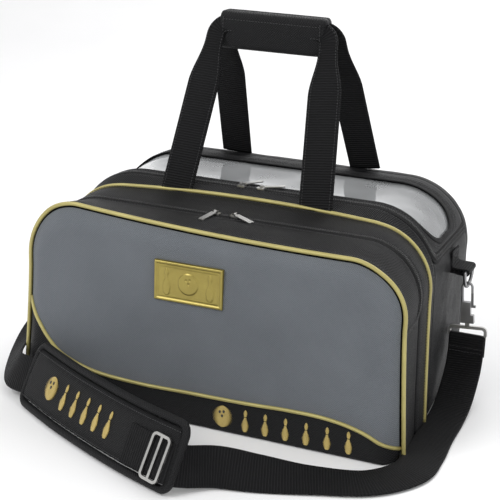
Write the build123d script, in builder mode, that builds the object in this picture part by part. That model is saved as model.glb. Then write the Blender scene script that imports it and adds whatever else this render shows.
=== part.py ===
"""Two-ball bowling tote with a shoe pocket, carry handles and a shoulder strap.

Frame: the origin is on the floor under the middle of the bag, +X runs to the bag's right end,
+Y from the shoe pocket to the back and +Z up.
"""
import math
import os

from build123d import *

os.makedirs("parts", exist_ok=True)

# Overall sizes of the bag, in millimetres
bag_length = 446.0
pocket_depth = 98.0
ball_depth = 222.0
pocket_height = 223.0
seam_height = 228.0
bag_height = 240.0
pocket_corner_radius = 62.0
seam_corner_radius = 68.0
lid_corner_radius = 79.0
rear_corner_radius = 44.0
wall = 2.5
base_thickness = 3.0
divider_thickness = 3.0
body_gap = 0.8
footprint_shift = 2.0

# Front panel of the shoe pocket
front_bulge = 12.0
front_flare = 22.0
front_inset = 3.0
flare_height = 12.0
upper_taper = 2.0
taper_drop = 36.0
flap_hinge_height = 136.0
zipper_end_height = 144.0
pocket_zipper_back = 58.0
piping_radius = 2.4
piping_stand = 1.0
badge_length = 82.0
badge_height = 46.0
badge_thickness = 2.5
badge_centre = (-18.0, 163.0)

# Lid, its window and the two zippers
lid_front_back_of_seam = 25.0
lid_rear_margin = 50.0
lid_depth = ball_depth - lid_front_back_of_seam - lid_rear_margin
lid_drop_height = 187.0
band_flat = 6.6
window_front_margin = 14.0
window_rear_margin = 32.0
window_drop_height = 197.0
window_thickness = 1.0
tape_width = 5.0
tape_thickness = 1.2

# Inside
board_thickness = 3.0
board_gap = 0.5
ball_radius = 108.0
cup_radius = 98.0
cup_height = 36.0
cup_floor = 5.0
ball_clearance = 0.5
ball_spread = 2.0

# Carry handles
webbing_width = 40.0
handle_thickness = 3.6
handle_bundle_width = 24.0
handle_foot_half_spacing = 86.0
handle_top_half_spacing = 64.0
handle_top = 433.0
handle_corner_radius = 34.0
handle_axis_lift = 7.0
handle_axis_behind_seam = 3.0
handle_foot_gap = 2.5
back_axis_behind_lid = 8.5
back_axis_lift = 3.6
handle_meet_y = 38.0
grip_centre = -8.0
grip_length = 132.0
grip_height = 44.0
grip_depth = 15.0
grip_gap = 0.3

# Zipper sliders and pulls
slider_length = 11.0
slider_width = 8.0
slider_plate = 1.6
slider_gap = 0.3
ear_thickness = 1.0
ear_height = 3.2
pin_radius = 0.6
pin_clearance = 0.3
eyelet_radius = 1.6
eyelet_width = 3.0
pull_neck = 1.5
pull_length = 25.0
pull_width = 7.0
pull_thickness = 1.2

# D-rings, snap hooks and the shoulder strap
ring_stand_off = 20.0
ring_y = 48.0
ring_height = 156.0
ring_radius = 20.5
ring_wire = 2.0
tab_width = 34.0
tab_patch_height = 22.0
tab_roll = 4.4
hook_wire = 1.5
hook_clearance = 0.3
hook_half_width = 5.8
hook_tilt = 4.5
hook_leg = 18.0
hook_body_length = 26.0
hook_body_width = 14.0
hook_body_thickness = 6.0
hook_body_flare = 1.0
hook_tip_drop = 6.0
channel_share = 0.62
knob_share = 0.2
gate_radius = 1.4
gate_gap = 0.5
gate_travel = 9.0
knob_length = 2.6
eye_width = 47.0
eye_height = 16.0
eye_wire = 3.6
eye_corner = 6.4
stub_radius = 2.5
stub_length = 4.0
strap_width = 43.0
strap_thickness = 2.6
pad_width = 75.0
pad_thickness = 12.0
glide_length = 26.0
glide_width = 50.0
glide_wire = 3.0
glide_clearance = 0.5
glide_corner = 6.0
glide_roll = 65.0
strap_lane = 7.0
pad_start = 27.0
pad_end = 269.0

# Planes and heights that several pieces share
half = bag_length / 2
front_y = -(pocket_depth + ball_depth) / 2 + footprint_shift
seam_y = front_y + pocket_depth
back_y = seam_y + ball_depth
divider_front = seam_y - divider_thickness / 2
divider_back = seam_y + divider_thickness / 2
pocket_zipper_y = front_y + pocket_zipper_back
lid_front = seam_y + lid_front_back_of_seam
lid_back = lid_front + lid_depth
band_flat_front = lid_front - band_flat
gap = body_gap / 2
pocket_size = (half, pocket_height, pocket_corner_radius)
seam_size = (half, seam_height, seam_corner_radius)
lid_size = (half, bag_height, lid_corner_radius)
centre_x = (Align.CENTER, Align.MIN)


def grown(size, amount):
    """The same outline, larger all round by the amount."""
    return tuple(value + amount for value in size)


def outline(size, low=base_thickness, mode=Mode.ADD):
    """Draw the bag's outline, with its rounded top corners, in the open sketch."""
    half_length, height, radius = size
    corner = half_length - radius
    shoulder = height - radius
    with BuildLine() as edge:
        Line((half_length, low), (half_length, shoulder))
        CenterArc((corner, shoulder), radius, 0, 90)
        Line((corner, height), (-corner, height))
        CenterArc((-corner, shoulder), radius, 90, 90)
        Line((-half_length, shoulder), (-half_length, low))
        Line((-half_length, low), (half_length, low))
    make_face(edge.edges(), mode=mode)


def hoop(y_front, y_back, size, thickness, above=base_thickness):
    """A wall that bends over the bag from side to side, between two upright planes."""
    with BuildPart() as bent_wall:
        with BuildSketch(Plane.XZ.offset(-y_back)):
            outline(size)
            outline(grown(size, -thickness), mode=Mode.SUBTRACT)
            if above > base_thickness:
                Rectangle(3 * half, above, align=centre_x, mode=Mode.SUBTRACT)
        extrude(amount=y_back - y_front)
    return bent_wall.part


def collar(y_front, y_back, size, thickness, low, high):
    """The stretch of such a wall between two heights, on both ends of the bag."""
    with BuildPart() as short_wall:
        add(hoop(y_front, y_back, size, thickness, low))
        add(block((-2 * half, y_front - 9, high), (2 * half, y_back + 9, 2 * bag_height)),
            mode=Mode.SUBTRACT)
    return short_wall.part


def block(low_corner, high_corner):
    """A plain block between two opposite corners."""
    sizes = [high - low for low, high in zip(low_corner, high_corner)]
    with BuildPart() as plain:
        with BuildSketch(Plane(origin=low_corner)):
            Rectangle(sizes[0], sizes[1], align=(Align.MIN, Align.MIN))
        extrude(amount=sizes[2])
    return plain.part


def piping(y_place, size, low, high):
    """A round cord sewn along the outline, between two heights."""
    half_length, height, radius = grown(size, piping_stand)
    corner = half_length - radius
    shoulder = height - radius
    with BuildPart() as cord:
        with BuildLine(Plane.XZ.offset(-y_place)) as path:
            Line((half_length, low), (half_length, shoulder))
            CenterArc((corner, shoulder), radius, 0, 90)
            Line((corner, height), (-corner, height))
            CenterArc((-corner, shoulder), radius, 90, 90)
            Line((-half_length, shoulder), (-half_length, low))
        with BuildSketch(Plane(origin=path.line @ 0, z_dir=path.line % 0)):
            Circle(piping_radius)
        sweep()
        if high < height:
            top = block((-2 * half, y_place - 9, high), (2 * half, y_place + 9, 2 * bag_height))
            add(top, mode=Mode.SUBTRACT)
    return cord.part


def save(part, name):
    """Label a finished piece and write it."""
    part.label = name
    export_step(part, "parts/" + name + ".step")


def without(part, *others):
    """The part less whatever the other pieces already fill."""
    with BuildPart() as cut:
        add(part)
        for other in others:
            add(other, mode=Mode.SUBTRACT)
    return cut.part


def mirrored(part):
    """The same piece on the bag's other end."""
    with BuildPart() as twin:
        mirror(part, about=Plane.YZ)
    return twin.part


# ---------------------------------------------------------------- base and inside
with BuildPart() as base_panel:
    with BuildSketch() as footprint:
        with BuildLine():
            Polyline((-half, front_y - front_bulge), (half, front_y - front_bulge),
                     (half, back_y), (-half, back_y), close=True)
        make_face()
        fillet(footprint.vertices().group_by(Axis.Y)[-1], rear_corner_radius)
        fillet(footprint.vertices().group_by(Axis.Y)[0], front_bulge)
    extrude(amount=base_thickness)
save(base_panel.part, "base_panel")

board_half = half - wall - board_gap
board_top = base_thickness + board_thickness
with BuildPart() as base_board:
    with BuildSketch(Plane.XY.offset(base_thickness)) as board_face:
        with BuildLine():
            Polyline((-board_half, divider_back + board_gap), (board_half, divider_back + board_gap),
                     (board_half, back_y - wall - board_gap),
                     (-board_half, back_y - wall - board_gap), close=True)
        make_face()
        fillet(board_face.vertices().group_by(Axis.Y)[-1], rear_corner_radius - wall)
    extrude(amount=board_thickness)
save(base_board.part, "base_board")

ball_x = ball_radius + ball_spread
ball_y = (divider_back + back_y - wall) / 2
ball_z = board_top + cup_floor + ball_radius
with BuildPart() as ball_cup_right:
    with BuildSketch(Plane(origin=(ball_x, ball_y, board_top))):
        Circle(cup_radius)
    extrude(amount=cup_height)
    with Locations((ball_x, ball_y, ball_z)):
        Sphere(ball_radius + ball_clearance, mode=Mode.SUBTRACT)
save(ball_cup_right.part, "ball_cup_right")
save(mirrored(ball_cup_right.part), "ball_cup_left")

# ---------------------------------------------------------------- walls of the ball compartment
with BuildPart() as divider_wall:
    with BuildSketch(Plane.XZ.offset(-divider_back)):
        outline(seam_size)
    extrude(amount=divider_thickness)
save(divider_wall.part, "divider_wall")

with BuildPart() as front_band:
    with BuildSketch(Plane.XZ.offset(-divider_back)):
        outline(seam_size)
    with BuildSketch(Plane.XZ.offset(-band_flat_front)):
        outline(lid_size)
    loft()
    with BuildSketch(Plane.XZ.offset(-divider_back)):
        outline(grown(seam_size, -wall))
    with BuildSketch(Plane.XZ.offset(-band_flat_front)):
        outline(grown(lid_size, -wall))
    loft(mode=Mode.SUBTRACT)
    add(hoop(band_flat_front, lid_front - gap, lid_size, wall))
save(front_band.part, "front_band")

with BuildPart() as end_panels:
    add(hoop(lid_front - gap, lid_back + gap, lid_size, wall))
    add(block((-2 * half, lid_front - 9, lid_drop_height - gap),
              (2 * half, lid_back + 9, 2 * bag_height)), mode=Mode.SUBTRACT)
for side, label in ((1, "right"), (-1, "left")):
    with BuildPart() as end_panel:
        add(end_panels.part)
        split(bisect_by=Plane.YZ, keep=Keep.TOP if side > 0 else Keep.BOTTOM)
    save(end_panel.part, "end_panel_" + label)


def rear_block(inset):
    """The rear of the ball compartment as a solid, drawn in by the inset."""
    with BuildPart() as rear:
        with BuildSketch(Plane.XZ.offset(inset - back_y)):
            outline(grown(lid_size, -inset))
        extrude(amount=back_y - inset - (lid_back + gap))
        rim = rear.faces().sort_by(Axis.Y)[-1].edges()
        fillet(rim.filter_by(lambda edge: edge.center().Z > base_thickness + 1),
               rear_corner_radius - inset)
    return rear.part


back_size = grown(lid_size, -rear_corner_radius)
with BuildPart() as back_panel:
    with BuildSketch(Plane.XZ.offset(-back_y)):
        outline(back_size)
    extrude(amount=wall)
save(back_panel.part, "back_panel")
save(without(rear_block(0), rear_block(wall), back_panel.part), "rear_shoulder")

# ---------------------------------------------------------------- lid
window_front = lid_front + window_front_margin
window_back = lid_back - window_rear_margin
lid_wall = hoop(lid_front + gap, lid_back, lid_size, wall, lid_drop_height + gap)
window_hole = hoop(window_front, window_back, grown(lid_size, 2), wall + 5, window_drop_height)
save(without(lid_wall, window_hole), "lid_panel")
window_inset = (wall - window_thickness) / 2
save(hoop(window_front, window_back, grown(lid_size, -window_inset), window_thickness,
          window_drop_height), "lid_window")

tape_size = grown(lid_size, tape_thickness)
with BuildPart() as lid_zipper_upper:
    add(hoop(lid_front + gap, lid_front + tape_width, tape_size, tape_thickness,
             lid_drop_height + gap))
    add(collar(lid_front + gap, lid_back, tape_size, tape_thickness,
               lid_drop_height + gap, lid_drop_height + tape_width))
save(without(lid_zipper_upper.part, lid_wall), "lid_zipper_upper")

with BuildPart() as lid_zipper_lower:
    add(hoop(lid_front - tape_width, lid_front - gap, tape_size, tape_thickness,
             lid_drop_height - tape_width))
    add(collar(lid_front - tape_width, lid_back, tape_size, tape_thickness,
               lid_drop_height - tape_width, lid_drop_height - gap))
save(without(lid_zipper_lower.part, end_panels.part, front_band.part), "lid_zipper_lower")

# ---------------------------------------------------------------- shoe pocket
rear_gusset = hoop(pocket_zipper_y + gap, divider_front, pocket_size, wall)
save(rear_gusset, "pocket_gusset_rear")
flap_gusset = hoop(front_y, pocket_zipper_y - gap, pocket_size, wall, zipper_end_height + gap)
save(flap_gusset, "pocket_flap_gusset")
for side, label in ((1, "right"), (-1, "left")):
    inner_x, outer_x = sorted((side * (half - wall), side * half))
    lower_gusset = block((inner_x, front_y, base_thickness),
                         (outer_x, pocket_zipper_y + gap, zipper_end_height - gap))
    save(lower_gusset, "pocket_gusset_lower_" + label)


def front_cushion(low, high):
    """The padded front panel between two heights, bulging and flared towards the floor."""
    with BuildPart() as cushion:
        with BuildSketch(Plane.XZ.offset(-front_y)):
            outline(grown(pocket_size, -front_inset))
        extrude(amount=2 * front_flare)
        with BuildSketch(Plane.YZ.offset(-half)):
            with BuildLine():
                Polyline((front_y, base_thickness), (front_y - front_bulge, base_thickness),
                         (front_y - front_flare, base_thickness + flare_height),
                         (front_y - front_bulge, flap_hinge_height),
                         (front_y - front_bulge + upper_taper, pocket_height - taper_drop),
                         (front_y - front_inset, pocket_height - front_inset),
                         (front_y, pocket_height - front_inset), close=True)
            make_face()
        extrude(amount=2 * half, mode=Mode.INTERSECT)
        add(block((-half, front_y - 2 * front_flare, low), (half, front_y, high)),
            mode=Mode.INTERSECT)
    return cushion.part


lower_cushion = front_cushion(base_thickness, flap_hinge_height - gap)
flap_cushion = front_cushion(flap_hinge_height + gap, pocket_height)
save(lower_cushion, "pocket_front_lower")
save(flap_cushion, "pocket_flap_panel")

tape_size = grown(pocket_size, tape_thickness)
tape_start = front_y + piping_radius + piping_stand
with BuildPart() as pocket_zipper_front:
    add(hoop(pocket_zipper_y - tape_width, pocket_zipper_y - gap, tape_size, tape_thickness,
             zipper_end_height + gap))
    add(collar(tape_start, pocket_zipper_y - gap, tape_size, tape_thickness,
               zipper_end_height + gap, zipper_end_height + tape_width))
save(without(pocket_zipper_front.part, flap_gusset), "pocket_zipper_front")

with BuildPart() as pocket_zipper_rear:
    add(hoop(pocket_zipper_y + gap, pocket_zipper_y + tape_width, tape_size, tape_thickness,
             zipper_end_height - tape_width))
    add(collar(tape_start, pocket_zipper_y + tape_width, tape_size, tape_thickness,
               zipper_end_height - tape_width, zipper_end_height - gap))
save(without(pocket_zipper_rear.part, rear_gusset), "pocket_zipper_rear")

# ---------------------------------------------------------------- piping and badge
front_cord = piping(front_y, pocket_size, base_thickness, 2 * bag_height)
below_flap = block((-2 * half, front_y - 9, 0), (2 * half, front_y + 9, zipper_end_height + gap))
save(without(front_cord, flap_gusset, flap_cushion, below_flap), "front_piping_upper")
whole_gusset = hoop(front_y, pocket_zipper_y, pocket_size, wall)
lower_cord = piping(front_y, pocket_size, base_thickness, zipper_end_height - gap)
save(without(lower_cord, whole_gusset, lower_cushion), "front_piping_lower")
seam_cord = piping(seam_y, seam_size, base_thickness, 2 * bag_height)
save(without(seam_cord, rear_gusset, divider_wall.part, front_band.part), "seam_piping")

badge_x, badge_z = badge_centre
badge_front = front_y - front_bulge - badge_thickness
badge_block = block((badge_x - badge_length / 2, badge_front, badge_z - badge_height / 2),
                    (badge_x + badge_length / 2, front_y, badge_z + badge_height / 2))
save(without(badge_block, flap_cushion), "badge")


# ---------------------------------------------------------------- carry handles
def handle(axis_y, axis_z):
    """A webbing handle that rises from its two sewn feet and leans in to the other handle."""
    rise_y = handle_meet_y - axis_y
    lean = math.atan2(rise_y, handle_top - axis_z)
    rise = math.hypot(rise_y, handle_top - axis_z)
    outward = handle_thickness / 2 + grip_gap
    shift = -outward if rise_y > 0 else outward
    tilted = Plane(origin=(0, axis_y + shift, axis_z), x_dir=(1, 0, 0),
                   z_dir=(0, -math.cos(lean), math.sin(lean)))
    foot_in = handle_foot_half_spacing - webbing_width / 2
    foot_out = handle_foot_half_spacing + webbing_width / 2
    top_in = handle_top_half_spacing - handle_bundle_width / 2
    top_out = handle_top_half_spacing + handle_bundle_width / 2
    bundle_low = rise - handle_bundle_width
    with BuildPart() as webbing:
        with BuildSketch(tilted) as face:
            with BuildLine():
                Polyline((-foot_out, handle_foot_gap), (-top_out, rise), (top_out, rise),
                         (foot_out, handle_foot_gap), (foot_in, handle_foot_gap),
                         (top_in, bundle_low), (-top_in, bundle_low),
                         (-foot_in, handle_foot_gap), close=True)
            make_face()
            corners = face.vertices().group_by(Axis.Y)
            fillet(corners[-1], handle_corner_radius)
            fillet(corners[-2], handle_corner_radius / 3)
        extrude(amount=handle_thickness / 2, both=True)
    return webbing.part


def grip_half(side, webbing):
    """One half of the padded wrap, folded over its own handle's top."""
    near = handle_meet_y + side * grip_gap
    far = near + side * grip_depth
    bottom = handle_top - grip_height
    corner = grip_depth / 2
    with BuildPart() as wrap:
        with BuildSketch(Plane.YZ.offset(grip_centre - grip_length / 2)) as section:
            with BuildLine():
                Polyline((near, bottom), (far, bottom), (far, bottom + grip_height),
                         (near, bottom + grip_height), close=True)
            make_face()
            fillet(section.vertices().group_by(Axis.X)[-1 if side > 0 else 0], corner)
        extrude(amount=grip_length)
        add(webbing, mode=Mode.SUBTRACT)
    return wrap.part


front_axis = (seam_y + handle_axis_behind_seam, seam_height + handle_axis_lift)
back_axis = (lid_back + back_axis_behind_lid, bag_height + back_axis_lift)
front_handle = handle(*front_axis)
back_handle = handle(*back_axis)
save(front_handle, "front_handle_strap")
save(back_handle, "back_handle_strap")
save(grip_half(-1, front_handle), "front_grip_half")
save(grip_half(1, back_handle), "back_grip_half")


# ---------------------------------------------------------------- zipper sliders and pulls
def slider_and_pull(name, place, heading):
    """A slider with a pinned pull that lies along the heading."""
    up = Vector(0, 0, 1)
    along = Vector(*heading).normalized()
    across = up.cross(along).normalized()
    plate_base = Vector(*place) + up * slider_gap
    pivot = plate_base + up * (slider_plate + ear_height - eyelet_radius)
    ear_offset = eyelet_width / 2 + pin_clearance + ear_thickness / 2
    with BuildPart() as slider:
        with BuildSketch(Plane(origin=plate_base)):
            RectangleRounded(slider_length, slider_width, slider_width / 3)
        extrude(amount=slider_plate)
        ear_plane = Plane(origin=(plate_base + up * slider_plate),
                          x_dir=across, z_dir=(0, 0, 1))
        with BuildSketch(ear_plane):
            with Locations((ear_offset, 0), (-ear_offset, 0)):
                Rectangle(ear_thickness, 2 * eyelet_radius)
        extrude(amount=ear_height)
        with BuildSketch(Plane(origin=pivot, z_dir=across)):
            Circle(pin_radius)
        extrude(amount=ear_offset, both=True)
    save(slider.part, name)
    with BuildPart() as pull:
        with BuildSketch(Plane(origin=pivot, x_dir=along,
                               z_dir=across)):
            Circle(eyelet_radius)
            Rectangle(2 * eyelet_radius + 2, pull_thickness, align=(Align.MIN, Align.CENTER))
        extrude(amount=eyelet_width / 2, both=True)
        blade = pivot + along * (pull_length / 2 + eyelet_radius + pull_neck)
        with BuildSketch(Plane(origin=blade, x_dir=along,
                               z_dir=along.cross(across))):
            RectangleRounded(pull_length, pull_width, pull_width / 4)
        extrude(amount=pull_thickness / 2, both=True)
        with BuildSketch(Plane(origin=pivot, z_dir=across)):
            Circle(pin_radius + pin_clearance)
        extrude(amount=eyelet_width, both=True, mode=Mode.SUBTRACT)
    save(pull.part, name.replace("slider", "pull"))


lid_slider_z = bag_height + tape_thickness
pocket_slider_z = pocket_height + tape_thickness
slider_and_pull("lid_slider_left", (-14.0, lid_front, lid_slider_z), (0.6, 0.8, 0.0))
slider_and_pull("lid_slider_right", (10.5, lid_front, lid_slider_z), (0.85, 0.5, 0.0))
slider_and_pull("pocket_slider_left", (-18.0, pocket_zipper_y, pocket_slider_z),
                (-0.25, -0.95, -0.12))
slider_and_pull("pocket_slider_right", (5.0, pocket_zipper_y, pocket_slider_z),
                (0.9, -0.4, -0.12))

# ---------------------------------------------------------------- D-rings and their tabs
ring_x = half + ring_stand_off
ring_plane = Plane(origin=(ring_x, ring_y, ring_height), x_dir=(0, 1, 0), z_dir=(1, 0, 0))
with BuildPart() as d_ring_right:
    with BuildLine(ring_plane) as bow:
        CenterArc((0, 0), ring_radius, 180, 180)
    with BuildSketch(Plane(origin=bow.line @ 0, z_dir=bow.line % 0)):
        Circle(ring_wire)
    sweep()
    with BuildSketch(Plane.XZ.offset(-(ring_y - ring_radius))):
        with Locations((ring_x, ring_height)):
            Circle(ring_wire)
    extrude(amount=-2 * ring_radius)
    with Locations((ring_x, ring_y - ring_radius, ring_height),
                   (ring_x, ring_y + ring_radius, ring_height)):
        Sphere(ring_wire)
save(d_ring_right.part, "d_ring_right")
save(mirrored(d_ring_right.part), "d_ring_left")

with BuildPart() as d_ring_tab_right:
    with BuildSketch(Plane.XZ.offset(-(ring_y - tab_width / 2))):
        with Locations((ring_x, ring_height)):
            Circle(tab_roll)
        with Locations((half, ring_height)):
            Rectangle(ring_stand_off, strap_thickness * 2, align=(Align.MIN, Align.CENTER))
            Rectangle(strap_thickness, tab_patch_height, align=(Align.MIN, Align.MIN))
    extrude(amount=-tab_width)
    add(d_ring_right.part, mode=Mode.SUBTRACT)
    add(lid_zipper_lower.part, mode=Mode.SUBTRACT)
save(without(d_ring_tab_right.part, end_panels.part), "d_ring_tab_right")
save(mirrored(without(d_ring_tab_right.part, end_panels.part)), "d_ring_tab_left")

# ---------------------------------------------------------------- snap hooks
tilt = math.radians(hook_tilt)
hook_plane = Plane(origin=(ring_x, ring_y, ring_height - ring_radius),
                   x_dir=(math.cos(tilt), 0, math.sin(tilt)), z_dir=(0, -1, 0))
bend_y = ring_wire + hook_clearance + hook_wire - hook_half_width
body_top = bend_y - hook_leg
body_low = body_top - hook_body_length
tip_y = bend_y - hook_tip_drop
channel_low = body_top - hook_body_length * channel_share
gate_top = tip_y - gate_gap
gate_low = channel_low + gate_travel + gate_gap
with BuildPart() as snap_hook_right:
    with BuildLine(hook_plane) as bend:
        Line((-hook_half_width, body_top), (-hook_half_width, bend_y))
        CenterArc((0, bend_y), hook_half_width, 180, -180)
        Line((hook_half_width, bend_y), (hook_half_width, tip_y))
    with BuildSketch(Plane(origin=bend.line @ 0, z_dir=bend.line % 0)):
        Circle(hook_wire)
    sweep()
    with BuildSketch(hook_plane):
        with BuildLine():
            Polyline((-hook_body_width / 2, body_top), (hook_body_width / 2, body_top),
                     (hook_body_width / 2 + hook_body_flare, body_low),
                     (-hook_body_width / 2 - hook_body_flare, body_low),
                     close=True)
        make_face()
        with Locations((hook_half_width + hook_body_width / 2 - gate_radius - gate_gap,
                        (body_top + channel_low) / 2)):
            Rectangle(hook_body_width, body_top - channel_low, mode=Mode.SUBTRACT)
    extrude(amount=hook_body_thickness / 2, both=True)
save(snap_hook_right.part, "snap_hook_right")
save(mirrored(snap_hook_right.part), "snap_hook_left")

knob_y = body_top - hook_body_length * knob_share
with BuildPart() as hook_gate_right:
    with BuildSketch(hook_plane):
        with Locations((hook_half_width, (gate_top + gate_low) / 2)):
            Rectangle(2 * gate_radius, gate_top - gate_low)
        with Locations((hook_half_width + gate_radius, knob_y)):
            Rectangle(knob_length, 2 * gate_radius, align=(Align.MIN, Align.CENTER))
    extrude(amount=gate_radius, both=True)
save(hook_gate_right.part, "hook_gate_right")
save(mirrored(hook_gate_right.part), "hook_gate_left")

eye_top = body_low - stub_length
with BuildPart() as hook_eye_right:
    with BuildSketch(hook_plane):
        with Locations((0, eye_top - eye_height / 2)):
            RectangleRounded(eye_width, eye_height, eye_corner)
            RectangleRounded(eye_width - 2 * eye_wire, eye_height - 2 * eye_wire,
                             eye_corner - eye_wire, mode=Mode.SUBTRACT)
        with Locations((0, body_low)):
            Rectangle(2 * stub_radius, stub_length + 1, align=(Align.CENTER, Align.MAX))
    extrude(amount=eye_wire / 2, both=True)
save(hook_eye_right.part, "hook_eye_right")
save(mirrored(hook_eye_right.part), "hook_eye_left")


# ---------------------------------------------------------------- shoulder strap
def ribbon(stations, width, thickness):
    """A flat strip through its stations, each a centre point and the roll of its width."""
    points = [Vector(*place) for place, roll in stations]
    with BuildPart() as strip:
        for index, (place, roll) in enumerate(stations):
            before = points[max(index - 1, 0)]
            after = points[min(index + 1, len(points) - 1)]
            along = (after - before).normalized()
            level = along.cross(Vector(0, 0, 1)).normalized()
            turned = level * math.cos(math.radians(roll))
            turned = turned + along.cross(level) * math.sin(math.radians(roll))
            with BuildSketch(Plane(origin=place, x_dir=turned,
                                   z_dir=along)):
                Rectangle(width, thickness)
        loft(ruled=True)
    return strip.part


# The strap's lying route: the right run hangs from its eye, lies along the bag's end and turns
# in front of it to the pad; the left run hangs in a slack bow. Each stop is a point and a roll.
eye_foot = hook_plane.from_local_coords((0, eye_top - eye_height, 0))
strap_top = eye_foot.Z - eye_width / 2 * math.sin(tilt) - hook_clearance
lane_x = ring_x + strap_lane
pad_left = pad_start - half
pad_right = pad_end - half
front_run = lane_x - pad_right
right_stations = [
    ((eye_foot.X, ring_y, strap_top), 0), ((eye_foot.X, ring_y - 6, strap_top - 11), 0),
    ((lane_x, ring_y - 24, 32), 0), ((lane_x, ring_y - 56, 10), 0),
    ((lane_x, ring_y - 96, 3), 0), ((lane_x, front_y + 60, 3), -2),
    ((lane_x + 2, front_y + 14, 4.5), -8), ((lane_x - 2, front_y - 33, 5.5), -8),
    ((lane_x - 34, front_y - 73, 5.5), -8),
    ((pad_right + 0.566 * front_run, front_y - 97, 8), -16),
    ((pad_right + 0.324 * front_run, front_y - 119, 14.5), -38),
    ((pad_right + 0.14 * front_run, front_y - 136, 21), -60),
    ((pad_right + 4, front_y - 160, 27), -68),
    ((pad_right - 10, front_y - 172.5, 33), -glide_roll),
    ((pad_right - 38, front_y - 162.2, 34.4), -glide_roll),
    ((pad_right - 68, front_y - 150.5, 34.4), -glide_roll)]
left_stations = [
    ((-eye_foot.X, ring_y, strap_top), 0), ((-eye_foot.X, ring_y - 6, strap_top - 9), 0),
    ((-lane_x - 1, ring_y - 34, 58), 0), ((-lane_x - 1, ring_y - 88, 58), 4),
    ((-lane_x - 2, front_y + 63, 50), 15), ((-lane_x, front_y + 15, 36), 45),
    ((pad_left - 34, front_y - 32, 30), 62), ((pad_left + 4, front_y - 49, 34), glide_roll)]
pad_stations = [
    ((pad_left, front_y - 46, 37.2), glide_roll), ((pad_left + 61, front_y - 84, 37.2), glide_roll),
    ((pad_left + 123, front_y - 117, 37.2), glide_roll),
    ((pad_right - 61, front_y - 144, 37.2), glide_roll),
    ((pad_right, front_y - 167, 37.2), glide_roll)]

save(ribbon(right_stations, strap_width, strap_thickness), "strap_webbing_right")
save(ribbon(left_stations, strap_width, strap_thickness), "strap_webbing_left")
save(ribbon(pad_stations, pad_width, pad_thickness), "shoulder_pad")

glide_low, glide_high = Vector(*right_stations[-2][0]), Vector(*right_stations[-3][0])
glide_along = (glide_high - glide_low).normalized()
glide_level = glide_along.cross(Vector(0, 0, 1)).normalized()
glide_across = (glide_level * math.cos(math.radians(glide_roll))
                + glide_along.cross(glide_level) * math.sin(math.radians(glide_roll)))
glide_out = glide_across.cross(glide_along).normalized()
glide_lift = strap_thickness / 2 + glide_clearance + glide_wire / 2
glide_centre = (glide_low + glide_high) / 2 + glide_out * glide_lift
glide_plane = Plane(origin=glide_centre, x_dir=glide_along,
                    z_dir=glide_out)
with BuildPart() as strap_slide:
    with BuildSketch(glide_plane):
        RectangleRounded(glide_length, glide_width, glide_corner)
        RectangleRounded(glide_length - 2 * glide_wire, glide_width - 2 * glide_wire,
                         glide_corner - glide_wire,
                         mode=Mode.SUBTRACT)
        Rectangle(glide_wire, glide_width)
    extrude(amount=glide_wire / 2, both=True)
save(strap_slide.part, "strap_slide")
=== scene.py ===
import math

import bmesh
import bpy
from mathutils import Matrix, Vector, noise


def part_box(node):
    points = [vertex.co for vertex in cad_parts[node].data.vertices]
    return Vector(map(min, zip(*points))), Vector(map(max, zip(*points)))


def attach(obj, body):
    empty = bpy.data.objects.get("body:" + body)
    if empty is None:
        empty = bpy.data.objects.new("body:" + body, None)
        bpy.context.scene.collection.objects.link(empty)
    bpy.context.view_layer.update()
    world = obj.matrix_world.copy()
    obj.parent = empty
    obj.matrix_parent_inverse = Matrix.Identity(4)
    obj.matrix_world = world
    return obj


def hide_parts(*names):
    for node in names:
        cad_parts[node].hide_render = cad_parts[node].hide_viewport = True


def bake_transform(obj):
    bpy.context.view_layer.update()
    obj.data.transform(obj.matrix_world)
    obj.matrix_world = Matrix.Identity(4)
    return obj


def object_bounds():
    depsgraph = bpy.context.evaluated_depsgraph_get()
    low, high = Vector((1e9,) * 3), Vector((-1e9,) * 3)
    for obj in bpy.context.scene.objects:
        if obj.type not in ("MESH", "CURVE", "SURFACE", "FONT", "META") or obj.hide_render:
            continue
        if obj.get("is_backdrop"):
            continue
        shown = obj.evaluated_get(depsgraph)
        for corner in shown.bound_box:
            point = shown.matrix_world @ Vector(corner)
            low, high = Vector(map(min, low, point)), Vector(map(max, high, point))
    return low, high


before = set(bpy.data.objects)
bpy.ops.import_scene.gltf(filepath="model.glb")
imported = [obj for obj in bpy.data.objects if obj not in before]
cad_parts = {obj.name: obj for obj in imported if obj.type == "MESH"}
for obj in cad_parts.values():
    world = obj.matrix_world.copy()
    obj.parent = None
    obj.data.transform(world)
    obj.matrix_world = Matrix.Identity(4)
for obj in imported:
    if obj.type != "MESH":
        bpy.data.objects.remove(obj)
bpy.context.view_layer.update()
scene = bpy.context.scene
mm = 0.001


# shader helpers
class Num:
    # wraps a number socket, so that shader maths reads as plain maths
    def __init__(self, tree, socket):
        self.tree = tree
        self.socket = socket

    def join(self, operation, other, swap=False):
        node = self.tree.nodes.new("ShaderNodeMath")
        node.operation = operation
        for place, side in enumerate((other, self) if swap else (self, other)):
            if isinstance(side, Num):
                self.tree.links.new(side.socket, node.inputs[place])
            elif side is not None:
                node.inputs[place].default_value = side
        return Num(self.tree, node.outputs[0])

    def __add__(self, other): return self.join("ADD", other)
    def __radd__(self, other): return self.join("ADD", other, True)
    def __sub__(self, other): return self.join("SUBTRACT", other)
    def __rsub__(self, other): return self.join("SUBTRACT", other, True)
    def __mul__(self, other): return self.join("MULTIPLY", other)
    def __rmul__(self, other): return self.join("MULTIPLY", other, True)
    def __truediv__(self, other): return self.join("DIVIDE", other)
    def __rtruediv__(self, other): return self.join("DIVIDE", other, True)
    def sine(self): return self.join("SINE", None)
    def size(self): return self.join("ABSOLUTE", None)
    def power(self, other): return self.join("POWER", other)


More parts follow.
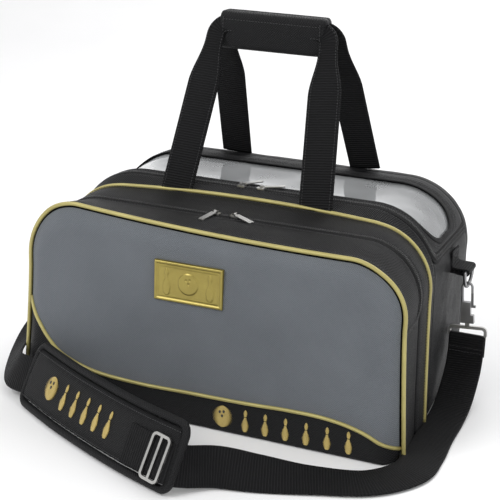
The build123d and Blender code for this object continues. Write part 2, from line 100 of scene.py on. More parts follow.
class Finish:
    # one material and the nodes in it
    def __init__(self, name, **fixed):
        self.material = bpy.data.materials.new(name)
        self.material.use_nodes = True
        self.tree = self.material.node_tree
        self.tree.nodes.clear()
        self.shader = self.add("ShaderNodeBsdfPrincipled", inputs=fixed)
        self.add("ShaderNodeOutputMaterial", inputs={"Surface": self.shader.outputs[0]})

    def add(self, kind, settings=None, inputs=None):
        node = self.tree.nodes.new(kind)
        for key, value in (settings or {}).items():
            if key == "stops":
                ramp = node.color_ramp
                while len(ramp.elements) < len(value):
                    ramp.elements.new(0.5)
                for element, (place, colour) in zip(ramp.elements, value):
                    element.position = place
                    element.color = colour
            else:
                setattr(node, key, value)
        for key, value in (inputs or {}).items():
            socket = node.inputs[key]
            if isinstance(value, Num):
                self.tree.links.new(value.socket, socket)
            elif isinstance(value, bpy.types.NodeSocket):
                self.tree.links.new(value, socket)
            else:
                socket.default_value = value
        return node

    def number(self, socket):
        return Num(self.tree, socket)

    def place(self, onCloth):
        # metres along the piece's own cloth, or in the bag's frame
        if onCloth:
            return self.add("ShaderNodeUVMap", {"uv_map": "cloth"}).outputs[0]
        return self.add("ShaderNodeTexCoord").outputs["Object"]

    def axes(self, place):
        node = self.add("ShaderNodeSeparateXYZ", inputs={0: place})
        return [self.number(output) for output in node.outputs]

    def cloud(self, place, scale, detail=2.0, roughness=0.5):
        node = self.add("ShaderNodeTexNoise", inputs={
            "Vector": place, "Scale": scale, "Detail": detail, "Roughness": roughness})
        return self.number(node.outputs[0])

    def blend(self, factor, first, second):
        node = self.add("ShaderNodeMix", {"data_type": "RGBA"},
                        {0: factor, 6: first, 7: second})
        return node.outputs[2]

    def wear(self, colour, roughness, height, depth, strength=1.0):
        # colour, roughness and relief into the shader
        self.tree.links.new(colour, self.shader.inputs["Base Color"])
        if roughness is not None:
            self.tree.links.new(roughness.socket, self.shader.inputs["Roughness"])
        bump = self.add("ShaderNodeBump", inputs={
            "Strength": strength, "Distance": depth, "Height": height})
        self.tree.links.new(bump.outputs[0], self.shader.inputs["Normal"])
        return self.material


def rgb(red, green, blue):
    return (red, green, blue, 1.0)


# finishes
def wovenCloth(name, dark, light, pitch, relief, rough, sheen, onCloth=True, fade=0.5):
    finish = Finish(name, **{"Sheen Weight": sheen, "Sheen Roughness": 0.4,
                             "Sheen Tint": light, "Specular IOR Level": 0.16})
    place = finish.place(onCloth)
    x, y, z = finish.axes(place)
    if not onCloth:
        x, y = x + y * 0.6, z + y * 0.8
    turn = 2 * math.pi / pitch
    over = (x * turn).sine()
    under = (y * turn).sine()
    weave = over * under * 0.5 + 0.5
    slub = finish.cloud(place, 900.0, 1.0)
    patch = finish.cloud(place, 14.0, 3.0)
    shade = weave * fade + slub * (0.75 - fade) + patch * 0.35
    colour = finish.blend(shade, dark, light)
    gloss = rough + 0.14 * patch - 0.1 * weave
    return finish.wear(colour, gloss, weave + slub * 0.5, relief, 0.8)


def ribbedWebbing(name, dark, light, pitch, relief):
    finish = Finish(name, **{"Sheen Weight": 0.02, "Sheen Roughness": 0.45,
                             "Sheen Tint": light, "Specular IOR Level": 0.15})
    place = finish.place(True)
    across, along, _ = finish.axes(place)
    twill = (across * (2 * math.pi / 0.0034)).sine().size()
    rib = (along * (2 * math.pi / pitch) + twill * 1.6).sine() * 0.5 + 0.5
    fuzz = finish.cloud(place, 1100.0, 1.0)
    worn = finish.cloud(place, 20.0, 3.0)
    colour = finish.blend(rib * 0.45 + fuzz * 0.3 + worn * 0.25, dark, light)
    return finish.wear(colour, 0.62 - 0.12 * rib + 0.1 * worn, rib + fuzz * 0.4, relief, 0.9)


def satinThread(name, dark, light, rough, metal=0.0):
    finish = Finish(name, **{"Metallic": metal, "Sheen Weight": 0.15})
    place = finish.place(False)
    x, y, z = finish.axes(place)
    twist = ((x + z + y * 0.5) * (2 * math.pi / 0.0011)).sine() * 0.5 + 0.5
    cast = finish.cloud(place, 60.0, 2.0)
    colour = finish.blend(twist * 0.6 + cast * 0.4, dark, light)
    return finish.wear(colour, rough + 0.15 * cast, twist, 0.00015, 0.6)


def pipingCord(name):
    finish = Finish(name, **{"Metallic": 0.35, "Coat Weight": 0.25, "Coat Roughness": 0.2})
    place = finish.place(True)
    across, along, _ = finish.axes(place)
    slant = ((along + across) * (2 * math.pi / 0.0016)).sine() * 0.5 + 0.5
    cast = finish.cloud(place, 24.0, 3.0)
    crease = finish.cloud(place, 240.0, 1.0)
    colour = finish.blend(cast * 0.7 + slant * 0.3, rgb(0.24, 0.20, 0.055), rgb(0.60, 0.53, 0.20))
    return finish.wear(colour, 0.3 + 0.2 * cast, slant + crease * 1.5, 0.0003, 0.5)


def brushedMetal(name, dark, light, rough, metal=1.0, grain=420.0, coat=0.0):
    finish = Finish(name, **{"Coat Roughness": 0.15, "Coat Weight": coat, "Metallic": metal})
    place = finish.place(False)
    x, y, z = finish.axes(place)
    streak = finish.add("ShaderNodeCombineXYZ", inputs={0: x * 0.25, 1: y, 2: z})
    scratch = finish.cloud(streak.outputs[0], grain * 4, 2.0)
    tarnish = finish.cloud(place, 45.0, 3.0)
    colour = finish.blend(tarnish * 0.8 + scratch * 0.2, dark, light)
    return finish.wear(colour, rough + 0.16 * tarnish + 0.08 * scratch, scratch, 0.00006, 0.5)


def clearSheet(name):
    # see-through where it faces you, pale and glossy at a slant; the pale milky cover is partly the
    # vinyl's own haze and partly painted reflection of the bright studio
    finish = Finish(name, **{"Coat Weight": 0.8, "Coat Roughness": 0.04, "IOR": 1.5,
                             "Specular IOR Level": 0.9})
    place = finish.place(True)
    wave = finish.cloud(place, 16.0, 1.0)
    haze = finish.cloud(place, 7.0, 2.0)
    # pale base colour blotched by the haze noise: partly the vinyl's own clouding, partly painted
    # reflection
    colour = finish.blend(haze, rgb(0.74, 0.76, 0.78), rgb(0.92, 0.94, 0.95))
    material = finish.wear(colour, 0.05 + 0.06 * haze, wave, 0.002, 0.15)
    slant = finish.number(finish.add("ShaderNodeFresnel", inputs={"IOR": 1.55}).outputs[0])
    # the haze share of the cover makes the sheet milky: partly clouding, partly painted reflection
    cover = (haze * 0.42 - 0.02) + slant * 1.3
    clear = finish.add("ShaderNodeBsdfTransparent", inputs={"Color": rgb(0.93, 0.94, 0.95)})
    mixed = finish.add("ShaderNodeMixShader", inputs={
        0: cover.join("MINIMUM", 0.85), 1: clear.outputs[0], 2: finish.shader.outputs[0]})
    surface = next(node for node in finish.tree.nodes if node.type == "OUTPUT_MATERIAL")
    finish.tree.links.new(mixed.outputs[0], surface.inputs["Surface"])
    return material


def foamCell(name):
    finish = Finish(name, **{"Sheen Weight": 0.1})
    place = finish.place(False)
    cell = finish.add("ShaderNodeTexVoronoi", {"feature": "F1"},
                      {"Vector": place, "Scale": 420.0})
    pit = finish.number(cell.outputs["Distance"])
    cast = finish.cloud(place, 18.0, 3.0)
    colour = finish.blend(pit * 0.5 + cast * 0.5, rgb(0.02, 0.02, 0.022), rgb(0.10, 0.10, 0.11))
    return finish.wear(colour, 0.8 + 0.1 * cast, pit, 0.0006, 0.8)


blackNylon = wovenCloth("blackNylon", rgb(0.0010, 0.0010, 0.0012), rgb(0.0150, 0.0152, 0.0165),
                        0.0030, 0.0010, 0.46, 0.02)
greySatin = wovenCloth("greySatin", rgb(0.066, 0.074, 0.084), rgb(0.190, 0.206, 0.226),
                       0.0024, 0.0008, 0.44, 0.06, fade=0.45)
padCloth = wovenCloth("padCloth", rgb(0.0012, 0.0012, 0.0014), rgb(0.0165, 0.0168, 0.018),
                      0.0030, 0.0010, 0.5, 0.02, onCloth=False)
frameNylon = wovenCloth("frameNylon", rgb(0.0012, 0.0012, 0.0014), rgb(0.0150, 0.0152, 0.0165),
                        0.0030, 0.0010, 0.5, 0.02, onCloth=False)
liningCloth = wovenCloth("liningCloth", rgb(0.012, 0.012, 0.014), rgb(0.055, 0.056, 0.06),
                         0.0030, 0.0004, 0.6, 0.1, onCloth=False)
blackWebbing = ribbedWebbing("blackWebbing", rgb(0.0010, 0.0010, 0.0012),
                             rgb(0.0180, 0.0180, 0.0195), 0.0030, 0.0014)
zipperCloth = ribbedWebbing("zipperCloth", rgb(0.0010, 0.0010, 0.0012),
                            rgb(0.0120, 0.0120, 0.0130), 0.0016, 0.0005)
coilPlastic = satinThread("coilPlastic", rgb(0.002, 0.002, 0.0022), rgb(0.016, 0.016, 0.017), 0.3)
blackThread = satinThread("blackThread", rgb(0.008, 0.008, 0.009), rgb(0.045, 0.045, 0.048), 0.4)
goldThread = satinThread("goldThread", rgb(0.30, 0.215, 0.05), rgb(0.66, 0.51, 0.17), 0.35, 0.1)
goldPiping = pipingCord("goldPiping")
goldPlate = brushedMetal("goldPlate", rgb(0.20, 0.15, 0.03), rgb(0.46, 0.38, 0.10), 0.26,
                         metal=0.85, coat=0.3)
nickel = brushedMetal("nickel", rgb(0.36, 0.36, 0.35), rgb(0.66, 0.65, 0.63), 0.2)
gunmetal = brushedMetal("gunmetal", rgb(0.20, 0.20, 0.205), rgb(0.42, 0.42, 0.43), 0.24)
clearVinyl = clearSheet("clearVinyl")
foam = foamCell("foam")
print("finishes ready")


# stage, lights and camera
def areaLight(name, place, target, width, power, colour=(1, 1, 1)):
    data = bpy.data.lights.new(name, "AREA")
    data.size = width
    data.energy = power
    data.color = colour
    lamp = bpy.data.objects.new(name, data)
    scene.collection.objects.link(lamp)
    lamp.location = place
    lamp.rotation_euler = (Vector(target) - Vector(place)).to_track_quat("-Z", "Y").to_euler()


studio = {"keyPower": 38, "fillPower": 10, "rimPower": 28, "worldLight": 0.72,
          "floorHalf": 4.0, "wallStart": 1.6, "bend": 0.9}
areaLight("keyLight", (-1.3, -1.9, 2.2), (0, -0.05, 0.15), 1.3, studio["keyPower"])
areaLight("fillLight", (1.9, -1.3, 1.2), (0, 0, 0.2), 1.2, studio["fillPower"])
areaLight("rimLight", (0.3, 1.5, 2.1), (0, 0, 0.25), 1.6, studio["rimPower"])

world = bpy.data.worlds.new("softStudio")
scene.world = world
world.use_nodes = True
world.node_tree.nodes["Background"].inputs["Color"].default_value = (1, 1, 1, 1)
world.node_tree.nodes["Background"].inputs["Strength"].default_value = studio["worldLight"]

sensor, focal = 36.0, 94.2026
camera = bpy.data.objects.new("camera", bpy.data.cameras.new("camera"))
camera.data.sensor_width = sensor
camera.data.lens = focal
camera.data.clip_start = 0.05
scene.collection.objects.link(camera)
sight = Vector((-0.34935279, 0.88278667, -0.31407058))
level = Vector((0.92502346, 0.37834054, 0.0344969))
upward = Vector((-0.14927903, 0.27847106, 0.9487727))
camera.matrix_world = Matrix((
    (level.x, upward.x, -sight.x, 0.537263), (level.y, upward.y, -sight.y, -1.394777),
    (level.z, upward.z, -sight.z, 0.649417), (0, 0, 0, 1)))
scene.camera = camera
scene.view_settings.view_transform = "Standard"


# mesh helpers, all in millimetres until the mesh is made
def newPiece(name, points, faces, faceMaps, material, smooth=True):
    mesh = bpy.data.meshes.new(name)
    mesh.from_pydata([tuple(Vector(point) * mm) for point in points], [], faces)
    if faceMaps:
        layer = mesh.uv_layers.new(name="cloth")
        flat = [value * mm for corners in faceMaps for corner in corners for value in corner]
        layer.data.foreach_set("uv", flat)
    mesh.materials.append(material)
    mesh.polygons.foreach_set("use_smooth", [smooth] * len(mesh.polygons))
    mesh.update()
    piece = bpy.data.objects.new(name, mesh)
    scene.collection.objects.link(piece)
    return piece


def gridPiece(name, rows, maps, material, closed=False):
    # rows[i][j]: faces point along (i direction) x (j direction)
    points = [point for row in rows for point in row]
    wide = len(rows[0])
    faces, faceMaps = [], []
    for i in range(len(rows) - 1):
        for j in range(wide if closed else wide - 1):
            k = (j + 1) % wide
            corners = ((i, j), (i + 1, j), (i + 1, k), (i, k))
            faces.append([a * wide + b for a, b in corners])
            faceMaps.append([maps[a][b] for a, b in corners])
    return newPiece(name, points, faces, faceMaps, material)


def sweepPiece(name, path, sides, profile, material, caps=True, scales=None):
    # profile runs round (side, face) with side x face = the path's direction
    count = len(profile)
    around = [0.0]
    for a, b in zip(profile, profile[1:] + profile[:1]):
        around.append(around[-1] + math.dist(a, b))
    points, lengths = [], [0.0]
    for index, (centre, side) in enumerate(zip(path, sides)):
        before = path[max(index - 1, 0)]
        after = path[min(index + 1, len(path) - 1)]
        along = (after - before).normalized()
        side = (side - along * side.dot(along)).normalized()
        face = along.cross(side)
        scale = scales[index] if scales else 1.0
        points += [centre + side * (a * scale) + face * b for a, b in profile]
        if index:
            lengths.append(lengths[-1] + (centre - path[index - 1]).length)
    faces, faceMaps = [], []
    for i in range(len(path) - 1):
        for j in range(count):
            k = (j + 1) % count
            faces.append([i * count + j, i * count + k, (i + 1) * count + k, (i + 1) * count + j])
            faceMaps.append([(around[j], lengths[i]), (around[j + 1], lengths[i]),
                             (around[j + 1], lengths[i + 1]), (around[j], lengths[i + 1])])
    if caps:
        last = (len(path) - 1) * count
        faces += [list(range(count))[::-1], list(range(last, last + count))]
        faceMaps += [[profile[j] for j in range(count)][::-1], list(profile)]
    return newPiece(name, points, faces, faceMaps, material)


def roundProfile(radius, count=12):
    return [(radius * math.cos(2 * math.pi * k / count), radius * math.sin(2 * math.pi * k / count))
            for k in range(count)]


def flatProfile(width, thickness, steps=14, groove=0.0):
    # a band's section with rounded edges and a shallow groove inside each edge
    def skin(u):
        inset = abs(abs(u) - (width / 2 - 4.0))
        return thickness / 2 - groove * math.exp(-(inset / 0.9) ** 2)
    half = width / 2 - thickness / 2
    across = [half * (2 * k / steps - 1) for k in range(steps + 1)]
    upper = [(u, skin(u)) for u in reversed(across)]
    lower = [(u, -skin(u)) for u in across]
    return upper + [(-width / 2, 0.0)] + lower + [(width / 2, 0.0)]


def smoothPath(stops, step=4.0):
    # a smooth line through the stops, with its side vectors
    path, sides = [], []
    last = len(stops) - 1
    for i in range(last):
        four = [stops[max(i - 1, 0)], stops[i], stops[i + 1], stops[min(i + 2, last)]]
        length = (four[2][0] - four[1][0]).length
        pieces = max(2, round(length / step))
        for k in range(pieces + (i == last - 1)):
            t = k / pieces
            mixed = []
            for part in (0, 1):
                a, b, c, d = (stop[part] for stop in four)
                mixed.append(0.5 * (2 * b + (c - a) * t + (2 * a - 5 * b + 4 * c - d) * t ** 2
                                    + (3 * b - a - 3 * c + d) * t ** 3))
            path.append(mixed[0])
            sides.append(mixed[1].normalized())
    return path, sides


def thicken(piece, thickness):
    wall = piece.modifiers.new("wall", "SOLIDIFY")
    wall.thickness = thickness * mm
    wall.offset = -1.0
    return piece


def finishPiece(piece, body, slot, *nodes):
    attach(piece, body)
    if nodes:
        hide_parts(*nodes)
    return piece


def clamp(value, low=0.0, high=1.0):
    return max(low, min(high, value))


def ease(value):
    value = clamp(value)
    return value * value * (3 - 2 * value)


# Geometry Nodes: stitches, teeth and satin threads
def repeatTree(name, onPath):
    tree = bpy.data.node_groups.new(name, "GeometryNodeTree")
    face = tree.interface
    face.new_socket("Geometry", in_out="INPUT", socket_type="NodeSocketGeometry")
    for label in ("spacing", "long", "wide", "high"):
        face.new_socket(label, in_out="INPUT", socket_type="NodeSocketFloat")
    face.new_socket("material", in_out="INPUT", socket_type="NodeSocketMaterial")
    face.new_socket("Geometry", in_out="OUTPUT", socket_type="NodeSocketGeometry")

    def node(kind, settings=None, links=None):
        made = tree.nodes.new(kind)
        for key, value in (settings or {}).items():
            setattr(made, key, value)
        for key, value in (links or {}).items():
            if isinstance(value, bpy.types.NodeSocket):
                tree.links.new(value, made.inputs[key])
            else:
                made.inputs[key].default_value = value
        return made

    def half(socket):
        return node("ShaderNodeMath", {"operation": "MULTIPLY"}, {0: socket, 1: 0.5}).outputs[0]

    given = node("NodeGroupInput").outputs
    up = node("GeometryNodeInputNamedAttribute", {"data_type": "FLOAT_VECTOR"},
              {"Name": "up"}).outputs[0]
    if onPath:
        curve = node("GeometryNodeMeshToCurve", links={0: given["Geometry"]})
        spots = node("GeometryNodeResampleCurve", {"mode": "LENGTH"},
                     {"Curve": curve.outputs[0], "Length": given["spacing"]}).outputs[0]
        heading = node("GeometryNodeInputTangent").outputs[0]
        long = half(given["long"])
    else:
        spots = given["Geometry"]
        heading = node("GeometryNodeInputNamedAttribute", {"data_type": "FLOAT_VECTOR"},
                       {"Name": "along"}).outputs[0]
        long = half(node("GeometryNodeInputNamedAttribute", {"data_type": "FLOAT"},
                         {"Name": "span"}).outputs[0])
    turned = node("FunctionNodeAlignRotationToVector", {"axis": "X"}, {"Vector": heading})
    stood = node("FunctionNodeAlignRotationToVector", {"axis": "Z", "pivot_axis": "X"},
                 {"Rotation": turned.outputs[0], "Vector": up})
    size = node("ShaderNodeCombineXYZ",
                links={0: long, 1: half(given["wide"]), 2: half(given["high"])})
    bead = node("GeometryNodeMeshUVSphere", links={"Segments": 6, "Rings": 4, "Radius": 1.0})
    placed = node("GeometryNodeInstanceOnPoints", links={
        "Points": spots, "Instance": bead.outputs["Mesh"], "Rotation": stood.outputs[0],
        "Scale": size.outputs[0]})
    real = node("GeometryNodeRealizeInstances", links={0: placed.outputs[0]})
    soft = node("GeometryNodeSetShadeSmooth", links={0: real.outputs[0]})
    dressed = node("GeometryNodeSetMaterial",
                   links={"Geometry": soft.outputs[0], "Material": given["material"]})
    node("NodeGroupOutput", links={0: dressed.outputs[0]})
    return tree


rowTree = repeatTree("stitchRow", True)
fillTree = repeatTree("satinFill", False)


def growRepeats(name, tree, mesh, sizes, material):
    carrier = bpy.data.objects.new(name + "Carrier", mesh)
    scene.collection.objects.link(carrier)
    grow = carrier.modifiers.new("repeat", "NODES")
    grow.node_group = tree
    values = {"spacing": sizes["spacing"] * mm, "long": sizes["long"] * mm,
              "wide": sizes["wide"] * mm, "high": sizes["high"] * mm, "material": material}
    for item in tree.interface.items_tree:
        if item.in_out == "INPUT" and item.name in values:
            grow[item.identifier] = values[item.name]
    ready = carrier.evaluated_get(bpy.context.evaluated_depsgraph_get())
    made = bpy.data.meshes.new_from_object(ready)
    made.name = name
    bpy.data.objects.remove(carrier)
    piece = bpy.data.objects.new(name, made)
    scene.collection.objects.link(piece)
    return piece


def alongPaths(name, lines, sizes, material):
    # lines: lists of (point, outward direction)
    mesh = bpy.data.meshes.new(name + "Path")
    points, edges, ups = [], [], []
    for line in lines:
        start = len(points)
        points += [tuple(point * mm) for point, _ in line]
        ups += [value for _, up in line for value in up]
        edges += [(start + k, start + k + 1) for k in range(len(line) - 1)]
    mesh.from_pydata(points, edges, [])
    mesh.attributes.new("up", "FLOAT_VECTOR", "POINT").data.foreach_set("vector", ups)
    return growRepeats(name, rowTree, mesh, sizes, material)


def satinThreads(name, threads, sizes, material):
    # threads: (centre, direction, outward direction, length)
    mesh = bpy.data.meshes.new(name + "Points")
    mesh.from_pydata([tuple(thread[0] * mm) for thread in threads], [], [])
    for label, part in (("along", 1), ("up", 2)):
        layer = mesh.attributes.new(label, "FLOAT_VECTOR", "POINT")
        layer.data.foreach_set("vector", [v for thread in threads for v in thread[part]])
    layer = mesh.attributes.new("span", "FLOAT", "POINT")
    layer.data.foreach_set("value", [thread[3] * mm for thread in threads])
    return growRepeats(name, fillTree, mesh, sizes, material)


stitch = {"spacing": 3.6, "long": 2.9, "wide": 0.75, "high": 0.7}


# the bag's outlines, from the frame
def span(node, axis):
    low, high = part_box(node)
    return low[axis] / mm, high[axis] / mm


half = span("base_panel", 0)[1]
backY = span("base_panel", 1)[1]
frontY, zipperY = span("pocket_flap_gusset", 1)
zipperY += 0.4
seamY = sum(span("seam_piping", 1)) / 2
lidFront, lidBack = span("lid_panel", 1)
lidFront -= 0.4
windowFront, windowBack = span("lid_window", 1)
lidDrop = span("end_panel_right", 2)[1] + 0.4
floorGap = span("base_panel", 2)[1]
zipperEnd = span("pocket_flap_gusset", 2)[0] - 0.4
pocketSize = (half, span("pocket_flap_gusset", 2)[1], 62.0)
seamSize = (half, span("divider_wall", 2)[1], 68.0)
lidSize = (half, span("rear_shoulder", 2)[1], 79.0)
rearCorner = half - span("back_panel", 0)[1]

drape = {"frontFlare": 9.5, "seamFlare": 5.5, "flareTop": 150.0, "tilt": 8.0, "dip": 4.0,
         "crown": 7.0, "wrinkle": 0.9}


def settled(point):
    # the soft bag spreads at its foot and its front seams aren't quite level
    x, y, z = point
    side = x / half
    front = ease((zipperY - 5 - y) / 53)
    flare = drape["seamFlare"] * ease((lidFront + 60 - y) / 90)
    flare += (drape["frontFlare"] - drape["seamFlare"]) * front
    low = clamp(1 - z / drape["flareTop"]) ** 1.25
    lift = clamp(z / 215) ** 4
    across = clamp(1 - (x / 165) ** 2)
    ridge = clamp(1 - abs(y - seamY) / 19)
    rise = -front * (drape["tilt"] * clamp(x / 200, -1, 1) + drape["dip"] * across)
    rise += drape["crown"] * ridge * across
    return Vector((x + side * abs(side) * flare * low, y, z + rise * lift))


def onOutline(length, size):
    # a point and its outward direction at a distance along the outline, from the left foot
    reach, height, radius = size
    rise, turn, top = height - radius, radius * math.pi / 2, 2 * (reach - radius)
    whole = 2 * (rise + turn) + top
    if length > whole / 2:
        point, outward = onOutline(whole - length, size)
        return Vector((-point.x, 0, point.z)), Vector((-outward.x, 0, outward.z))
    if length <= rise:
        return Vector((-reach, 0, length)), Vector((-1, 0, 0))
    if length <= rise + turn:
        angle = (length - rise) / radius
        outward = Vector((-math.cos(angle), 0, math.sin(angle)))
        return Vector((radius - reach, 0, rise)) + outward * radius, outward
    return Vector((radius - reach + length - rise - turn, 0, height)), Vector((0, 0, 1))


def wholeLength(size):
    reach, height, radius = size
    return 2 * (height - radius + radius * math.pi / 2 + reach - radius)


def lengthAt(height, size):
    # the distance along the left end at which the outline reaches a height
    _, top, radius = size
    rise = top - radius
    if height <= rise:
        return height
    return rise + radius * math.asin(clamp((height - rise) / radius))


def onSkin(length, y, size, lift=0.0):
    point, outward = onOutline(length, size)
    return settled(point + outward * lift + Vector((0, y, 0)))


def stepsAlong(low, high, step=5.0):
    count = max(2, round((high - low) / step))
    return [low + (high - low) * k / count for k in range(count + 1)]


def crumple(point, seed, amount):
    spot = Vector(point) * 0.021 + Vector((seed * 7.3, 0, 0))
    coarse = noise.noise(spot)
    fine = noise.noise(spot * 2.7)
    return amount * (coarse + 0.45 * fine)


def hoopPiece(name, stations, shares, puff, seed, material, wall=2.2, step=5.0,
              wrinkle=None):
    # a wall that bends over the bag: stations are (y, outline), shares the part of its length
    wrinkle = drape["wrinkle"] if wrinkle is None else wrinkle
    count = max(8, round(wholeLength(stations[0][1]) * (shares[1] - shares[0]) / step))
    rows, maps = [], []
    reach = stations[-1][0] - stations[0][0]
    for i in range(count + 1):
        share = shares[0] + (shares[1] - shares[0]) * i / count
        row, line = [], []
        for y, size in stations:
            length = share * wholeLength(size)
            point, outward = onOutline(length, size)
            place = (y - stations[0][0]) / reach
            soft = math.sin(math.pi * place) ** 0.6
            lift = puff * soft + crumple((point.x, y, point.z), seed, wrinkle) * soft
            row.append(settled(point + outward * lift + Vector((0, y, 0))))
            line.append((length, y))
        rows.append(row)
        maps.append(line)
    return thicken(gridPiece(name, rows, maps, material), wall)


def between(first, last, count):
    # stations from one (y, outline) to another
    return [(first[0] + (last[0] - first[0]) * k / count,
             tuple(a + (b - a) * k / count for a, b in zip(first[1], last[1])))
            for k in range(count + 1)]


def seamLine(y, size, low, high, lift=1.2, step=6.0):
    # a line of (point, outward) over the bag between two lengths
    line = []
    for length in stepsAlong(low, high, step):
        _, outward = onOutline(length, size)
        line.append((onSkin(length, y, size, lift), outward))
    return line


# shoe pocket
panel = {"inset": 3.0, "belly": 21.5, "mid": 11.0, "top": 9.0, "edge": 20.0,
         "columns": 84, "rowsLow": 16, "rowsHigh": 34}
curvePoints = [(-220, 111), (-206, 91), (-190, 71), (-172, 56), (-147, 46), (-115, 40),
               (-64, 38), (-1, 39), (59, 40), (106, 42), (153, 41), (187, 34), (208, 24),
               (220, 15)]


def curveHeight(x):
    # the height of the sweep where the grey cloth meets the black
    for index in range(len(curvePoints) - 1):
        left, right = curvePoints[index], curvePoints[index + 1]
        if x <= right[0]:
            before = curvePoints[max(index - 1, 0)]
            after = curvePoints[min(index + 2, len(curvePoints) - 1)]
            t = (x - left[0]) / (right[0] - left[0])
            slopeIn = (right[1] - before[1]) / (right[0] - before[0])
            slopeOut = (after[1] - left[1]) / (after[0] - left[0])
            reach = right[0] - left[0]
            return ((2 * t ** 3 - 3 * t ** 2 + 1) * left[1] + (t ** 3 - 2 * t ** 2 + t) * reach * slopeIn
                    + (3 * t ** 2 - 2 * t ** 3) * right[1] + (t ** 3 - t ** 2) * reach * slopeOut)
    return curvePoints[-1][1]


panelHalf = half - panel["inset"]
panelTop = pocketSize[1] - panel["inset"]
panelRadius = pocketSize[2] - panel["inset"]


def panelCrown(x):
    beyond = clamp(abs(x) - (panelHalf - panelRadius), 0, panelRadius)
    return panelTop - panelRadius + math.sqrt(panelRadius ** 2 - beyond ** 2)


def edgeDistance(x, z):
    # how far a spot on the front panel is from its rim
    corner = (panelHalf - panelRadius, panelTop - panelRadius)
    over = (abs(x) - corner[0], z - corner[1])
    if over[0] > 0 and over[1] > 0:
        upper = panelRadius - math.hypot(*over)
    else:
        upper = min(panelHalf - abs(x), panelTop - z)
    return max(0.0, min(upper, z * 3.0 + 9.0))


def panelBulge(x, z):
    low = ease((z - 12) / 105)
    high = ease((z - 120) / 80)
    amount = panel["belly"] + (panel["mid"] - panel["belly"]) * low
    amount += (panel["top"] - panel["mid"]) * high
    rim = clamp(edgeDistance(x, z) / panel["edge"])
    sag = crumple((x, 0, z), 3, 0.5) * rim
    return amount * (1 - (1 - rim) ** 2.4) + sag


def onPanel(x, z, lift=0.0):
    bulge = panelBulge(x, z)
    slopeX = panelBulge(x + 1, z) - panelBulge(x - 1, z)
    slopeZ = panelBulge(x, z + 1) - panelBulge(x, z - 1)
    outward = Vector((slopeX / -2, -1, slopeZ / -2)).normalized()
    return settled(Vector((x, frontY - 1 - bulge, z)) + outward * lift), outward


def panelColumns():
    count = panel["columns"]
    return [panelHalf * math.sin(math.pi / 2 * (2 * k / count - 1)) for k in range(count + 1)]


def panelPatch(name, lowOf, highOf, rowsCount, material, tuck=False):
    # a padded patch of the front: crowned outside, flat behind
    fronts, maps = [], []
    for x in panelColumns():
        low, high = lowOf(x), highOf(x)
        shares = [0.5 - 0.5 * math.cos(math.pi * k / rowsCount) for k in range(rowsCount + 1)]
        spots = [(x, low + (high - low) * share) for share in shares]
        column = [onPanel(*spot)[0] for spot in spots]
        if tuck:  # the foot turns back under the bag
            column = [settled((x, frontY - 1 - 0.35 * panelBulge(x, low), 0.4))] + column
            spots = [(x, low - 12)] + spots
        fronts.append(column)
        maps.append(spots)
    return thicken(gridPiece(name, fronts, maps, material), 5.0)


lowerPanel = panelPatch("lowerPanel", lambda x: 1.2, curveHeight, panel["rowsLow"], blackNylon,
                        tuck=True)
finishPiece(lowerPanel, "bag", "woven_nylon", "pocket_front_lower")
upperPanel = panelPatch("upperPanel", curveHeight, panelCrown, panel["rowsHigh"], greySatin)
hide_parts("pocket_flap_panel")
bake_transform(upperPanel)

piping = {"radius": 2.4, "stand": 1.0, "sweepRadius": 2.1}


def outlineCord(name, y, size):
    path, sides = [], []
    low, high = floorGap, wholeLength(size) - floorGap
    for length in stepsAlong(low, high, 5.0):
        path.append(onSkin(length, y, size, piping["stand"]))
        sides.append(Vector((0, 1, 0)))
    return sweepPiece(name, path, sides, roundProfile(piping["radius"], 14), goldPiping)


frontPiping = outlineCord("frontPiping", frontY, pocketSize)
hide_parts("front_piping_upper", "front_piping_lower")
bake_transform(frontPiping)

curvePath = [onPanel(-panelHalf + 2 * panelHalf * k / 110,
                     curveHeight(-panelHalf + 2 * panelHalf * k / 110),
                     0.9) for k in range(111)]
sweepPiping = sweepPiece("sweepPiping", [spot[0] for spot in curvePath],
                         [Vector((0, 0, 1)) for spot in curvePath],
                         roundProfile(piping["sweepRadius"], 12), goldPiping)
finishPiece(sweepPiping, "bag", "piping_gold")

whole = wholeLength(pocketSize)
flapShare = zipperEnd / whole
flapGusset = hoopPiece("flapGusset", between((frontY + 1, pocketSize), (zipperY - 3, pocketSize), 9),
                       (flapShare, 1 - flapShare), 1.6, 1, blackNylon)
finishPiece(flapGusset, "pocket_flap", "woven_nylon", "pocket_flap_gusset")
for side, label in ((0, "left"), (1, "right")):
    shares = (1 - flapShare, 1 - floorGap / whole) if side else (floorGap / whole, flapShare)
    lowerGusset = hoopPiece("lowerGusset_" + label, between((frontY + 1, pocketSize),
                            (zipperY, pocketSize), 9), shares, 1.2, 5 + side, blackNylon, 2.0)
    finishPiece(lowerGusset, "bag", "woven_nylon", "pocket_gusset_lower_" + label)
rearGusset = hoopPiece("rearGusset", between((zipperY + 3, pocketSize), (seamY - 1, seamSize), 7),
                       (floorGap / whole, 1 - floorGap / whole), 1.5, 2, blackNylon)
finishPiece(rearGusset, "bag", "woven_nylon", "pocket_gusset_rear")

seamPiping = outlineCord("seamPiping", seamY, seamSize)
finishPiece(seamPiping, "bag", "piping_gold", "seam_piping")
print("shoe pocket made")

# walls of the ball compartment
bandBreak = lidFront - 6.6
bandStations = between((seamY + 1, seamSize), (bandBreak, lidSize), 5)
bandStations += [(bandBreak + 1.8, lidSize), (lidFront - 2.5, lidSize)]
footShare = floorGap / wholeLength(lidSize)
frontBand = hoopPiece("frontBand", bandStations, (footShare, 1 - footShare), 0.8, 4, blackNylon)
finishPiece(frontBand, "bag", "woven_nylon", "front_band")

